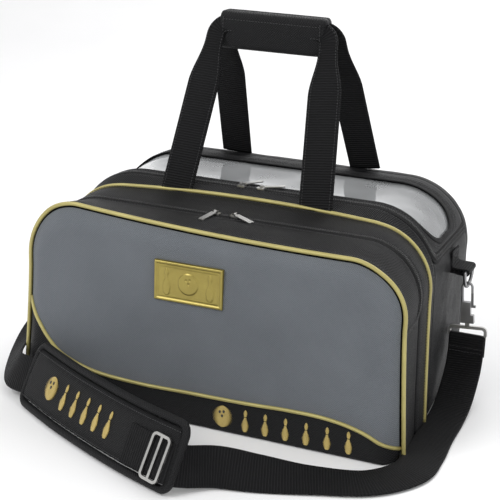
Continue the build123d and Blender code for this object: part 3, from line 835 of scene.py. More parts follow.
lidWhole = wholeLength(lidSize)
dropLength = lengthAt(lidDrop, lidSize)
for side, label in ((0, "left"), (1, "right")):
    low, high = footShare, (dropLength - 2) / lidWhole
    shares = (1 - high, 1 - low) if side else (low, high)
    endPanel = hoopPiece("endPanel_" + label,
                         between((lidFront - 3, lidSize), (lidBack + 1, lidSize), 26),
                         shares, 1.0, 8 + side, blackNylon, wrinkle=1.8)
    finishPiece(endPanel, "bag", "woven_nylon", "end_panel_" + label)

rearStations = [(lidBack + 0.6, lidSize)]
for k in range(11):
    angle = math.pi / 2 * k / 10
    drawn = rearCorner * (1 - math.cos(angle))
    rearStations.append((backY - rearCorner + rearCorner * math.sin(angle),
                         tuple(value - drawn for value in lidSize)))
rearShoulder = hoopPiece("rearShoulder", rearStations, (footShare, 1 - footShare), 0.0, 6,
                         blackNylon)
finishPiece(rearShoulder, "bag", "woven_nylon", "rear_shoulder")

backSize = tuple(value - rearCorner for value in lidSize)
backRows, backMaps = [], []
for k in range(49):
    x = backSize[0] * math.sin(math.pi / 2 * (k / 24 - 1))
    beyond = clamp(abs(x) - (backSize[0] - backSize[2]), 0, backSize[2])
    crown = backSize[1] - backSize[2] + math.sqrt(backSize[2] ** 2 - beyond ** 2)
    row, line = [], []
    for j in range(27):
        z = crown - (crown - floorGap) * j / 26
        rim = clamp(min(backSize[0] - abs(x), z - floorGap, crown - z) / 30)
        row.append(Vector((x, backY - 0.4 + 3.0 * ease(rim) + crumple((x, 9, z), 11, 1.2) * rim, z)))
        line.append((x, z))
    backRows.append(row)
    backMaps.append(line)
backWall = thicken(gridPiece("backWall", backRows, backMaps, blackNylon), 2.2)
finishPiece(backWall, "bag", "woven_nylon", "back_panel")
backEdge = [backRows[k][0] for k in range(1, 48)]
backCord = sweepPiece("backSeamCord", [Vector((-backSize[0], backY, 6))] + backEdge
                      + [Vector((backSize[0], backY, 6))],
                      [Vector((0, 1, 0))] * 49, roundProfile(1.8, 8), zipperCloth)
finishPiece(backCord, "bag", "woven_nylon")
print("walls made")

# lid and window
lid = {"outerCorner": 16.0, "windowCorner": 36.0, "edgeRoll": 0.9, "sag": 4.5, "under": 4.0}
windowLow = lengthAt(span("lid_window", 2)[0], lidSize)


def ringOnLid(low, high, front, back, radius, sideCount=46, cornerCount=10, cross=22):
    # a rounded rectangle of (length, y) spots, anticlockwise seen from outside
    spots = []
    corners = ((high - radius, front + radius, -90), (high - radius, back - radius, 0),
               (low + radius, back - radius, 90), (low + radius, front + radius, 180))
    counts = (cross, 2 * sideCount, cross, 2 * sideCount)
    for index, (a, b, start) in enumerate(corners):
        arc = [(a + radius * math.cos(math.radians(start + 90 * k / cornerCount)),
                b + radius * math.sin(math.radians(start + 90 * k / cornerCount)))
               for k in range(cornerCount + 1)]
        after = corners[(index + 1) % 4]
        nextStart = (after[0] + radius * math.cos(math.radians(after[2])),
                     after[1] + radius * math.sin(math.radians(after[2])))
        spots += arc
        for k in range(1, counts[index]):
            t = k / counts[index]
            spots.append((arc[-1][0] + (nextStart[0] - arc[-1][0]) * t,
                          arc[-1][1] + (nextStart[1] - arc[-1][1]) * t))
    return spots


def ringToSkin(spots, lift):
    points = []
    for length, y in spots:
        points.append(onSkin(length, y, lidSize, lift))
    return points


outerRing = ringOnLid(dropLength + 0.6, lidWhole - dropLength - 0.6, lidFront + 1.2, lidBack,
                      lid["outerCorner"])
windowRing = ringOnLid(windowLow, lidWhole - windowLow, windowFront, windowBack, lid["windowCorner"])
frameRows, frameMaps = [], []
for k in range(10):
    t = k / 9
    spots = [((1 - t) * a[0] + t * b[0], (1 - t) * a[1] + t * b[1])
             for a, b in zip(outerRing, windowRing)]
    lift = 0.2 + lid["edgeRoll"] * math.sin(math.pi * t) ** 0.5
    frameRows.append(ringToSkin(spots, lift))
    frameMaps.append(spots)
outerFirst, mapsFirst = frameRows[::-1], frameMaps[::-1]
lidFrame = gridPiece("lidFrame",
                     [list(row) for row in zip(*outerFirst)] + [[row[0] for row in outerFirst]],
                     [list(row) for row in zip(*mapsFirst)] + [[row[0] for row in mapsFirst]],
                     blackNylon)
mergeMesh = bmesh.new()
mergeMesh.from_mesh(lidFrame.data)
bmesh.ops.remove_doubles(mergeMesh, verts=mergeMesh.verts, dist=0.00001)
bmesh.ops.recalc_face_normals(mergeMesh, faces=mergeMesh.faces)
topFace = max(mergeMesh.faces, key=lambda face: face.calc_center_median().z)
if topFace.normal.z < 0:
    bmesh.ops.reverse_faces(mergeMesh, faces=mergeMesh.faces)
mergeMesh.to_mesh(lidFrame.data)
mergeMesh.free()
thicken(lidFrame, 2.0)
finishPiece(lidFrame, "lid", "woven_nylon", "lid_panel")

binding = sweepPiece("windowBinding", ringToSkin(windowRing + windowRing[:1], 1.1),
                     [onOutline(length, lidSize)[1].cross(Vector((0, 1, 0))) * 0
                      + (onSkin(length, y, lidSize, 2) - onSkin(length, y, lidSize, 0)).normalized()
                      for length, y in windowRing + windowRing[:1]],
                     [(a * 0.9, b * 3.4) for a, b in roundProfile(1.0, 12)], zipperCloth, caps=False)
finishPiece(binding, "lid", "woven_nylon")

sheetLow, sheetHigh = windowLow - lid["under"], lidWhole - windowLow + lid["under"]
sheetFront, sheetBack = windowFront - lid["under"], windowBack + lid["under"]
sheetCorner = lid["windowCorner"] + 2
sheetRows, sheetMaps = [], []
columnCount = 100
for k in range(columnCount + 1):
    spread = math.sin(math.pi / 2 * (2 * k / columnCount - 1))
    length = (sheetLow + sheetHigh) / 2 + (sheetHigh - sheetLow) / 2 * spread
    inside = min(length - sheetLow, sheetHigh - length)
    cut = sheetCorner - math.sqrt(max(0.0, sheetCorner ** 2 - max(0.0, sheetCorner - inside) ** 2))
    row, line = [], []
    for j in range(21):
        t = j / 20
        y = sheetFront + cut + (sheetBack - sheetFront - 2 * cut) * t
        middle = math.sin(math.pi * clamp((y - sheetFront) / (sheetBack - sheetFront)))
        dip = lid["sag"] * middle * ease(inside / 90)
        ripple = crumple((length, y, 0), 15, 0.8) * middle
        row.append(onSkin(length, y, lidSize, -1.2 - dip + ripple))
        line.append((length, y))
    sheetRows.append(row)
    sheetMaps.append(line)
windowSheet = gridPiece("windowSheet", sheetRows, sheetMaps, clearVinyl)
finishPiece(windowSheet, "lid", "clear_vinyl", "lid_window")
(sheetHigh - sheetLow) * mm
print("lid made")

# zippers
zipper = {"tape": 7.0, "thick": 0.9, "coil": 1.7, "spacing": 2.0}


def pathOnFlat(corners, radii, step=2.5):
    # a line of (length, y) spots with rounded corners
    spots = [corners[0]]
    for before, corner, after, radius in zip(corners, corners[1:], corners[2:], radii):
        a = Vector(before) - Vector(corner)
        b = Vector(after) - Vector(corner)
        start = Vector(corner) + a.normalized() * radius
        end = Vector(corner) + b.normalized() * radius
        centre = start + end - Vector(corner)
        last = Vector(spots[-1])
        for k in range(1, max(2, int((start - last).length / step))):
            spots.append(tuple(last.lerp(start, k * step / max((start - last).length, step))))
        for k in range(9):
            angle = math.pi / 2 * k / 8
            spots.append(tuple(centre + (start - centre) * math.cos(angle)
                               + (end - centre) * math.sin(angle)))
    last, goal = Vector(spots[-1]), Vector(corners[-1])
    count = max(2, int((goal - last).length / step))
    spots += [tuple(last.lerp(goal, k / count)) for k in range(1, count + 1)]
    return spots


def zipperHalf(name, spots, size, side, body, node):
    # the tape on one side of the line, with its half of the coil
    inner, outer, teeth, maps = [], [], [], []
    for index, spot in enumerate(spots):
        before, after = spots[max(index - 1, 0)], spots[min(index + 1, len(spots) - 1)]
        heading = (Vector(after) - Vector(before)).normalized()
        aside = Vector((-heading.y, heading.x)) * side
        line = [Vector(spot) + aside * offset for offset in (0.5, 2.4, 4.5, zipper["tape"])]
        lifts = (1.2, 1.5, 1.2, 0.7)
        inner.append([onSkin(place.x, place.y, size, lift) for place, lift in zip(line, lifts)])
        maps.append([(place.x, place.y) for place in line])
        tooth = Vector(spot) + aside * 1.5
        _, outward = onOutline(spot[0], size)
        teeth.append((onSkin(tooth.x, tooth.y, size, zipper["coil"]), outward))
    if side < 0:
        inner = [row[::-1] for row in inner]
        maps = [row[::-1] for row in maps]
    tape = thicken(gridPiece(name, inner, maps, zipperCloth), zipper["thick"])
    finishPiece(tape, body, "zipper_tape", node)
    coil = alongPaths(name + "_coil", [teeth], {"spacing": zipper["spacing"], "long": 1.35,
                                                "wide": 3.1, "high": 1.9}, coilPlastic)
    finishPiece(coil, body, "zipper_tape")


pocketWhole = wholeLength(pocketSize)
pocketLine = pathOnFlat([(zipperEnd, frontY + 5), (zipperEnd, zipperY),
                         (pocketWhole - zipperEnd, zipperY),
                         (pocketWhole - zipperEnd, frontY + 5)], (22, 22))
zipperHalf("pocketZipperFront", pocketLine, pocketSize, -1, "pocket_flap", "pocket_zipper_front")
zipperHalf("pocketZipperRear", pocketLine, pocketSize, 1, "bag", "pocket_zipper_rear")
lidLine = pathOnFlat([(dropLength, lidBack - 1), (dropLength, lidFront),
                      (lidWhole - dropLength, lidFront), (lidWhole - dropLength, lidBack - 1)], (16, 16))
zipperHalf("lidZipperUpper", lidLine, lidSize, 1, "lid", "lid_zipper_upper")
zipperHalf("lidZipperLower", lidLine, lidSize, -1, "bag", "lid_zipper_lower")
print("zippers made")

# rows of stitches on the bag
def insetLines(size, y, lift=1.3):
    low = floorGap + 2
    return seamLine(y, size, low, wholeLength(size) - low, lift)


bagRows = [insetLines(pocketSize, zipperY + 11), insetLines(seamSize, seamY - 6, lift=1.6),
           insetLines(lidSize, lidFront - 9.5, lift=0.6)]
sewBag = alongPaths("bagStitches", bagRows, stitch, blackThread)
finishPiece(sewBag, "bag", "woven_nylon")
flapLow = zipperEnd + 14
flapRows = [seamLine(y, pocketSize, flapLow, pocketWhole - flapLow, 2.1)
            for y in (zipperY - 11, frontY + 7)]
sewFlap = alongPaths("flapStitches", flapRows, stitch, blackThread)
finishPiece(sewFlap, "pocket_flap", "woven_nylon")


def ringRow(ring, other, share, lift):
    line = []
    for a, b in zip(ring + ring[:1], other + other[:1]):
        length, y = a[0] + (b[0] - a[0]) * share, a[1] + (b[1] - a[1]) * share
        _, outward = onOutline(length, lidSize)
        line.append((onSkin(length, y, lidSize, lift), outward))
    return line


sewLid = alongPaths("lidStitches", [ringRow(windowRing, outerRing, 0.3, 1.5),
                                    ringRow(outerRing, windowRing, 0.55, 1.5)], stitch, blackThread)
finishPiece(sewLid, "lid", "woven_nylon")

# badge and embroidery: a ball and pins
def pinWidth(share):
    # half the width of a pin, as a share of its height
    stops = ((0.0, 0.085), (0.12, 0.135), (0.3, 0.165), (0.45, 0.125), (0.62, 0.062), (0.7, 0.06),
             (0.84, 0.088), (0.94, 0.06), (1.0, 0.0))
    for low, high in zip(stops, stops[1:]):
        if share <= high[0]:
            return low[1] + (high[1] - low[1]) * ease((share - low[0]) / (high[0] - low[0]))
    return 0.0


badgeLow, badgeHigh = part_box("badge")
badgeX = (badgeLow.x + badgeHigh.x) / 2 / mm
badgeZ = (badgeLow.z + badgeHigh.z) / 2 / mm
badge = {"halfLong": (badgeHigh.x - badgeLow.x) / 2 / mm,
         "halfHigh": (badgeHigh.z - badgeLow.z) / 2 / mm, "rim": 3.6, "face": badgeLow.y / mm,
         "step": 0.55, "pin": 31.0, "pinPlace": 26, "ball": 12.5}


def badgeRelief(x, z):
    # how far each spot of the plate stands proud of its field
    edge = min(badge["halfLong"] - abs(x), badge["halfHigh"] - abs(z))
    rim = ease((badge["rim"] - edge) / 0.9) * ease(edge / 1.2 + 0.25) * 1.3
    inlay = 0.35 * ease((1.0 - abs(edge - badge["rim"] - 2.2)) / 0.6)
    ball = ease((badge["ball"] - math.hypot(x, z)) / 1.2) * 1.2
    for hole in ((-2.4, 4.6), (2.2, 5.2), (0.6, 0.4)):
        ball *= 1 - 0.85 * ease((1.5 - math.hypot(x - hole[0], z - hole[1])) / 0.6)
    pins = 0.0
    for place in (-badge["pinPlace"], badge["pinPlace"]):
        share = (z + badge["pin"] / 2) / badge["pin"]
        if 0 <= share <= 1:
            wide = pinWidth(share) * badge["pin"]
            off = abs(x - place)
            pins = max(pins, ease((wide - off) / 0.9 + 0.1) * 1.1 * (wide > off))
    return max(rim, inlay, ball, pins)


plateRows, plateMaps = [], []
countX = round(2 * badge["halfLong"] / badge["step"])
countZ = round(2 * badge["halfHigh"] / badge["step"])
backPlane = frontY - panel["top"] + 1
for i in range(-1, countX + 2):
    x = badge["halfLong"] * (2 * clamp(i, 0, countX) / countX - 1)
    row, line = [], []
    for j in range(-1, countZ + 2):
        z = badge["halfHigh"] * (2 * clamp(j, 0, countZ) / countZ - 1)
        outside = i in (-1, countX + 1) or j in (-1, countZ + 1)
        y = backPlane + 3 if outside else badge["face"] + 1.3 - badgeRelief(x, z)
        row.append(Vector((badgeX + x, y, badgeZ + z)))
        line.append((x, z))
    plateRows.append(row)
    plateMaps.append(line)
plate = gridPiece("badgePlate", plateRows, plateMaps, goldPlate)
finishPiece(plate, "pocket_flap", "badge_gold", "badge")


def ballAndPins(pins, ballRadius, pinHigh, gapWide, row=0.5):
    # rows of satin thread as (x0, x1, z) in a flat drawing centred on the origin
    total = 2 * ballRadius + pins * gapWide
    left = -total / 2
    threads = []
    for k in range(int(2 * ballRadius / row)):
        z = -ballRadius + (k + 0.5) * row
        reach = math.sqrt(ballRadius ** 2 - z ** 2)
        threads.append((left + ballRadius - reach, left + ballRadius + reach, z))
    for pin in range(pins):
        middle = left + 2 * ballRadius + gapWide * (pin + 0.62)
        for k in range(int(pinHigh / row)):
            share = (k + 0.5) * row / pinHigh
            wide = pinWidth(share) * pinHigh * 1.15
            threads.append((middle - wide, middle + wide, pinHigh * (share - 0.5)))
            if 0.66 < share < 0.7:
                threads.pop()
    return threads


def fingerHoles(middle, radius, row=0.5):
    # three small round spots near the ball's top
    spots = []
    for right, up in ((-0.26, 0.42), (0.12, 0.5), (-0.02, 0.08)):
        size = radius * 0.13
        for k in range(int(2 * size / row)):
            z = -size + (k + 0.5) * row
            reach = math.sqrt(size ** 2 - z ** 2)
            spots.append((middle + right * radius - reach, middle + right * radius + reach,
                          up * radius + z))
    return spots


motif = {"ball": 12.5, "pin": 26.0, "gap": 23.0, "middleX": 100, "middleZ": 19.5}


def frontMotif(name, drawing, lift, thread):
    threads = []
    for x0, x1, z in drawing:
        centre, outward = onPanel((x0 + x1) / 2 + motif["middleX"], z + motif["middleZ"], lift)
        threads.append((centre, Vector((1, 0, 0)), outward, x1 - x0))
    piece = satinThreads(name, threads, {"spacing": 1, "long": 1, "wide": 0.8, "high": 1.2}, thread)
    finishPiece(piece, "bag", "piping_gold")


frontMotif("frontEmbroidery", ballAndPins(6, motif["ball"], motif["pin"], motif["gap"]), 0.25,
           goldThread)
frontMotif("frontFingerHoles", fingerHoles(-3 * motif["gap"], motif["ball"]), 1.0, blackThread)
print("badge and embroidery made")

# carry handles
handle = {"width": 40.0, "thick": 3.4, "footSpread": 86.0, "topLeft": 76.0, "topRight": 62.0,
          "hang": 17.0, "corner": 15.0, "gatherFrom": 92.0, "gatherOver": 52.0, "gather": 0.42,
          "foot": -3.0}


def cornerPath(foot, top, height, radius, count=14):
    # up from a foot, round the upper corner and across to the middle, as (x, height) spots
    upTo = Vector((top, height))
    leg = (Vector(foot) - upTo).normalized()
    across = Vector((-1, 0))
    turn = math.acos(clamp(leg.dot(across), -1, 1))
    back = radius / math.tan(turn / 2)
    start, end = upTo + leg * back, upTo + across * back
    centre = upTo + (leg + across).normalized() * (radius / math.sin(turn / 2))
    spots = [Vector(foot).lerp(start, k / 40) for k in range(41)]
    first, last = start - centre, end - centre
    swing = math.pi - turn
    for k in range(1, count + 1):
        t = k / count
        turned = first * math.sin(swing * (1 - t)) + last * math.sin(swing * t)
        spots.append(centre + turned / math.sin(swing))
    spots += [end.lerp(Vector((0, height)), k / 14) for k in range(1, 15)]
    return spots


def carryHandle(name, axisY, axisZ, body, node):
    top = span(node, 2)[1]
    meetY = sum(span("front_grip_half", 1) + span("back_grip_half", 1)) / 4
    rise = math.hypot(meetY - axisY, top - axisZ)
    along = Vector((0, meetY - axisY, top - axisZ)).normalized()
    face = Vector((0, -along.z, along.y))
    shift = handle["thick"] / 2 + 0.5
    origin = Vector((0, axisY + (-shift if meetY > axisY else shift), axisZ))
    wide = handle["width"] / 2
    halves = [cornerPath((handle["footSpread"], handle["foot"]), spread, rise - handle["hang"],
                         handle["corner"]) for spread in (handle["topLeft"], handle["topRight"])]
    line = [Vector((-spot.x, spot.y)) for spot in halves[0]] + halves[1][-2::-1]
    pairs = []
    for i, spot in enumerate(line):
        course = (line[min(i + 1, len(line) - 1)] - line[max(i - 1, 0)]).normalized()
        gathered = ease((spot.y - rise + handle["gatherFrom"]) / handle["gatherOver"])
        reach = Vector((-course.y, course.x)) * wide * (1 - handle["gather"] * gathered)
        pairs.append((spot + reach, spot - reach))
    profile = flatProfile(handle["width"], handle["thick"], 16, 0.35)
    rows, maps, travelled = [], [], 0.0
    middle = None
    around = [0.0]
    for a, b in zip(profile, profile[1:] + profile[:1]):
        around.append(around[-1] + math.dist(a, b))
    for a, b in pairs:
        centre, side = (a + b) / 2, (a - b) / 2
        if middle is not None:
            travelled += (centre - middle).length
        middle = centre
        row = []
        for u, v in profile:
            flat = centre + side * (u / (handle["width"] / 2))
            bow = 0.6 * math.cos(u / 14) if abs(u) < 20 else 0
            row.append(origin + Vector((flat.x, 0, 0)) + along * flat.y + face * (v + bow))
        rows.append(row)
        maps.append([(value, travelled) for value in around[:-1]])
    # the closing face keeps its own length round the band
    points = [point for row in rows for point in row]
    count = len(profile)
    faces, faceMaps = [], []
    for i in range(len(rows) - 1):
        for j in range(count):
            k = (j + 1) % count
            faces.append([i * count + j, (i + 1) * count + j, (i + 1) * count + k, i * count + k])
            faceMaps.append([(around[j], maps[i][0][1]), (around[j], maps[i + 1][0][1]),
                             (around[j + 1], maps[i + 1][0][1]), (around[j + 1], maps[i][0][1])])
    last = (len(rows) - 1) * count
    faces += [list(range(count)), list(range(last, last + count))[::-1]]
    faceMaps += [[(value, 0) for value in around[:-1]]] * 2
    piece = newPiece(name, points, faces, faceMaps, blackWebbing)
    fixNormals(piece)
    finishPiece(piece, body, "webbing", node)
    rowsOfThread = []
    for offset in (-0.82, 0.82):
        for sign in (-1, 1):
            line = []
            for a, b in pairs[:60] if sign < 0 else pairs[-60:]:
                flat = (a + b) / 2 + (a - b) / 2 * offset
                front = face if axisY < meetY else -face
                spot = origin + Vector((flat.x, 0, 0)) + along * flat.y
                line.append((spot + front * (handle["thick"] / 2 + 0.1), front))
            rowsOfThread.append(line)
    sewing = alongPaths(name + "_stitches", rowsOfThread, stitch, blackThread)
    finishPiece(sewing, body, "webbing")


def fixNormals(piece):
    tidy = bmesh.new()
    tidy.from_mesh(piece.data)
    bmesh.ops.recalc_face_normals(tidy, faces=tidy.faces)
    tidy.to_mesh(piece.data)
    tidy.free()


frontAxis = (seamY + 3.0, seamSize[1] + 7.0)
backAxis = (lidBack + 8.5, lidSize[1] + 3.6)
carryHandle("frontHandle", *frontAxis, "front_handle", "front_handle_strap")
carryHandle("backHandle", *backAxis, "back_handle", "back_handle_strap")

grip = {"pad": 1.6, "endRound": 5.0, "corner": 7.0}


def gripHalf(name, node, body, side):
    low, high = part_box(node)
    low, high = low / mm, high / mm
    near, far = (low.y, high.y) if side > 0 else (high.y, low.y)
    deep = abs(far - near)
    tall = high.z - low.z
    middleZ = (low.z + high.z) / 2
    rows, maps = [], []
    xCount = 44
    for i in range(xCount + 1):
        t = i / xCount
        x = low.x + (high.x - low.x) * (0.5 - 0.5 * math.cos(math.pi * t))
        inset = min(x - low.x, high.x - x)
        end = grip["endRound"] * (1 - math.sqrt(clamp(1 - (1 - clamp(inset / grip["endRound"])) ** 2)))
        puffed = grip["pad"] * ease(inset / 26) * (1 + 0.25 * noise.noise(Vector((x * 0.06, side, 0))))
        halfTall = tall / 2 - end * 0.8
        reach = deep - grip["pad"] + puffed - end
        radius = grip["corner"]
        loop = [(0.0, -halfTall), (reach - radius, -halfTall)]
        loop += [(reach - radius + radius * math.sin(a), -halfTall + radius - radius * math.cos(a))
                 for a in (math.pi / 12 * k for k in range(1, 7))]
        loop += [(reach + 0.5 * math.sin(math.pi * k / 8), -halfTall + radius
                  + (2 * halfTall - 2 * radius) * k / 8) for k in range(1, 8)]
        loop += [(reach - radius + radius * math.cos(a), halfTall - radius + radius * math.sin(a))
                 for a in (math.pi / 12 * k for k in range(0, 7))]
        loop += [(0.0, halfTall)]
        rows.append([Vector((x, near + side * a, middleZ + b)) for a, b in loop])
        maps.append([(x, b + a) for a, b in loop])
    points = [point for row in rows for point in row]
    wide = len(rows[0])
    faces, faceMaps = [], []
    for i in range(len(rows) - 1):
        for j in range(wide):
            k = (j + 1) % wide
            corners = ((i, j), (i + 1, j), (i + 1, k), (i, k))
            faces.append([a * wide + b for a, b in corners])
            faceMaps.append([maps[a][b] for a, b in corners])
    last = (len(rows) - 1) * wide
    faces += [list(range(wide)), list(range(last, last + wide))]
    faceMaps += [maps[0], maps[-1]]
    piece = newPiece(name, points, faces, faceMaps, blackNylon)
    fixNormals(piece)
    finishPiece(piece, body, "woven_nylon", node)
    lines = []
    outY = near + side * (deep + 0.3)
    for x in (low.x + 6, high.x - 6):
        lines.append([(Vector((x, outY, low.z + 7 + (tall - 14) * k / 10)), Vector((0, side, 0)))
                      for k in range(11)])
    lines.append([(Vector((low.x + 7 + (high.x - low.x - 14) * k / 20, near + side * 5, high.z + 0.1)),
                   Vector((0, 0, 1))) for k in range(21)])
    lines.append([(Vector((low.x + 7 + (high.x - low.x - 14) * k / 20, outY, high.z - 9)),
                   Vector((0, side, 0))) for k in range(21)])
    sewing = alongPaths(name + "_stitches", lines, stitch, blackThread)
    finishPiece(sewing, body, "woven_nylon")


gripHalf("frontGrip", "front_grip_half", "front_handle", -1)
gripHalf("backGrip", "back_grip_half", "back_handle", 1)
print("handles made")

# shoulder strap
strap = {"width": 43.0, "thick": 2.4, "padWidth": 70.0, "padThick": 8.5, "rim": 4.4, "above": 25.0}
eyeLow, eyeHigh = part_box("hook_eye_right")
eyeBarX = (eyeLow.x + eyeHigh.x) / 2 / mm + 0.6
eyeBarZ = eyeLow.z / mm + 3.4
ringY = sum(span("d_ring_right", 1)) / 2

rightStops = [((250, 24, 32), 0), ((250, -8, 10), 0), ((250, -48, 3), 0), ((250, -98, 3), -2),
              ((252, -144, 4.5), -8), ((248, -191, 5.5), -8), ((216, -231, 5.5), -8),
              ((161.5, -255, 8), -16), ((112, -277, 14.5), -38), ((74.5, -294, 21), -60),
              ((50, -318, 27), -68), ((36, -330.5, 33), -65), ((8, -320.2, 34.4), -65),
              ((-22, -308.5, 34.4), -65)]
leftStops = [((-251, 14, 58), 0), ((-251, -40, 58), 4), ((-252, -95, 50), 15),
             ((-250, -143, 36), 45), ((-230, -190, 30), 62), ((-192, -207, 34), 65)]
padStops = [((-196, -204, 37.2), 65), ((-135, -242, 37.2), 65), ((-73, -275, 37.2), 65),
            ((-15, -302, 37.2), 65), ((46, -325, 37.2), 65)]


def rolled(stops):
    # each stop with the direction of its width
    places = [Vector(stop[0]) for stop in stops]
    ready = []
    for index, (place, roll) in enumerate(stops):
        along = (places[min(index + 1, len(places) - 1)] - places[max(index - 1, 0)]).normalized()
        flat = along.cross(Vector((0, 0, 1))).normalized()
        angle = math.radians(roll)
        ready.append((Vector(place), flat * math.cos(angle) + along.cross(flat) * math.sin(angle)))
    return ready


def strapEnd(side):
    # the webbing comes up behind the eye's lower bar, over it and down in front
    x = side * eyeBarX
    wrap = 3.2
    stops = [Vector((x, ringY + wrap, eyeBarZ - 24)), Vector((x, ringY + wrap, eyeBarZ - 8))]
    for k in range(7):
        angle = math.pi * k / 6
        stops.append(Vector((x, ringY + wrap * math.cos(angle), eyeBarZ + wrap * math.sin(angle))))
    stops += [Vector((x, ringY - wrap, eyeBarZ - 8)),
              Vector((x + side * 0.5, ringY - wrap - 3, eyeBarZ - 22))]
    return [(stop, Vector((-1, 0, 0))) for stop in stops]


for side, stops, label in ((1, rightStops, "right"), (-1, leftStops, "left")):
    path, sides = smoothPath(strapEnd(side) + rolled(stops), 4.0)
    path = [Vector((point.x, point.y, max(point.z, 2.0))) for point in path]
    webbing = sweepPiece("strapWebbing_" + label, path, sides,
                         flatProfile(strap["width"], strap["thick"], 16, 0.3), blackWebbing)
    finishPiece(webbing, "strap", "webbing", "strap_webbing_" + label)
    boxLines = []
    for low in (12, 17):
        boxLines.append([(Vector((side * eyeBarX - 18 + 36 * k / 8, ringY - 4.8 - (low - 8) * 0.2,
                                  eyeBarZ - low)), Vector((0, -1, 0.2))) for k in range(9)])
    sewing = alongPaths("strapStitches_" + label, boxLines, stitch, blackThread)
    finishPiece(sewing, "strap", "webbing")

padPath, padSides = smoothPath(rolled(padStops), 5.0)
padLengths = [0.0]
for a, b in zip(padPath, padPath[1:]):
    padLengths.append(padLengths[-1] + (b - a).length)
padWhole = padLengths[-1]


def padPlace(share, across, lift):
    # a spot on the pad: share of its length, distance across and height over its middle
    place = share * (len(padPath) - 1)
    index = min(int(place), len(padPath) - 2)
    t = place - index
    centre = padPath[index].lerp(padPath[index + 1], t)
    side = padSides[index].lerp(padSides[index + 1], t).normalized()
    along = (padPath[index + 1] - padPath[index]).normalized()
    side = (side - along * side.dot(along)).normalized()
    out = side.cross(along)
    if out.y > 0:
        out, side = -out, -side
    return centre + side * across + out * lift, along, side, out


def padEdge(share):
    # half the pad's width, rounded at both ends
    inside = min(share, 1 - share) * padWhole
    corner = 16.0
    cut = corner - math.sqrt(max(0.0, corner ** 2 - max(0.0, corner - inside) ** 2))
    return strap["padWidth"] / 2 - cut


def inflate(name, source, voxel, cap, pressure):
    # the filled cloth swells with no weight on it; only its outward part is kept, up to the cap
    shell = source.modifiers.new("voxels", "REMESH")
    shell.mode = "VOXEL"
    shell.voxel_size = voxel * mm
    ready = source.evaluated_get(bpy.context.evaluated_depsgraph_get())
    mesh = bpy.data.meshes.new_from_object(ready)
    swollen = bpy.data.objects.new(name, mesh)
    scene.collection.objects.link(swollen)
    bpy.data.objects.remove(source)
    rest = [vertex.co.copy() for vertex in mesh.vertices]
    cloth = swollen.modifiers.new("cloth", "CLOTH")
    cloth.settings.use_pressure = True
    cloth.settings.uniform_pressure_force = pressure
    cloth.settings.effector_weights.gravity = 0
    for tick in range(1, 21):
        scene.frame_set(tick)
    moved = swollen.evaluated_get(bpy.context.evaluated_depsgraph_get()).to_mesh()
    spots = [vertex.co.copy() for vertex in moved.vertices]
    swollen.modifiers.remove(cloth)
    normals = [vertex.normal.copy() for vertex in mesh.vertices]
    for vertex, before, after, outward in zip(mesh.vertices, rest, spots, normals):
        swell = min(cap * mm, max(0.0, (after - before).dot(outward)))
        vertex.co = before + outward * swell
    scene.frame_set(1)
    fine = swollen.modifiers.new("fine", "SUBSURF")
    fine.levels = fine.render_levels = 1
    smoothMesh = bpy.data.meshes.new_from_object(
        swollen.evaluated_get(bpy.context.evaluated_depsgraph_get()))
    swollen.modifiers.clear()
    swollen.data = smoothMesh
    smoothMesh.polygons.foreach_set("use_smooth", [True] * len(smoothMesh.polygons))
    return swollen


blankRows = []
padSteps, loopCount = 60, 28
for i in range(padSteps + 1):
    share = 0.5 - 0.5 * math.cos(math.pi * i / padSteps)
    share = 0.004 + 0.992 * share
    wide = padEdge(share) - 3
    thick = strap["padThick"] / 2 * (0.55 + 0.45 * ease(min(share, 1 - share) * padWhole / 12))
    turns = [2 * math.pi * k / loopCount for k in range(loopCount)]
    loop = [(wide * math.cos(a), thick * math.copysign(abs(math.sin(a)) ** 0.45, math.sin(a)))
            for a in turns]
    blankRows.append([padPlace(share, a, b)[0] for a, b in loop])
points = [point for row in blankRows for point in row]
blankFaces = []
for i in range(padSteps):
    for j in range(loopCount):
        k = (j + 1) % loopCount
        blankFaces.append([i * loopCount + j, (i + 1) * loopCount + j, (i + 1) * loopCount + k,
                           i * loopCount + k])
lastLoop = padSteps * loopCount
blankFaces += [list(range(loopCount)), list(range(lastLoop, lastLoop + loopCount))[::-1]]
blank = newPiece("padBlank", points, blankFaces, None, padCloth)
fixNormals(blank)
shoulderPad = inflate("shoulderPad", blank, 4.0, 1.6, 4.0)
shoulderPad.data.materials.clear()
shoulderPad.data.materials.append(padCloth)
finishPiece(shoulderPad, "strap", "pad_cloth", "shoulder_pad")

rimPath, rimSides = [], []
for k in range(80):
    share = 0.003 + 0.994 * (0.5 - 0.5 * math.cos(math.pi * k / 79))
    place, along, side, out = padPlace(share, padEdge(share), 0.8)
    rimPath.append(place)
    rimSides.append(out)
for k in range(79, -1, -1):
    share = 0.003 + 0.994 * (0.5 - 0.5 * math.cos(math.pi * k / 79))
    place, along, side, out = padPlace(share, -padEdge(share), 0.8)
    rimPath.append(place)
    rimSides.append(out)
rimPath.append(rimPath[0])
rimSides.append(rimSides[0])
padRim = sweepPiece("padRim", rimPath, rimSides, roundProfile(strap["rim"], 12), blackNylon,
                    caps=False)
finishPiece(padRim, "strap", "pad_cloth")
padRows = []
for sign in (-1, 1):
    padRows.append([(padPlace(0.03 + 0.94 * k / 40, sign * (strap["padWidth"] / 2 - 8.5), 5.6)[0],
                     padPlace(0.03 + 0.94 * k / 40, 0, 0)[3]) for k in range(41)])
padSewing = alongPaths("padStitches", padRows, stitch, blackThread)
finishPiece(padSewing, "strap", "pad_cloth")

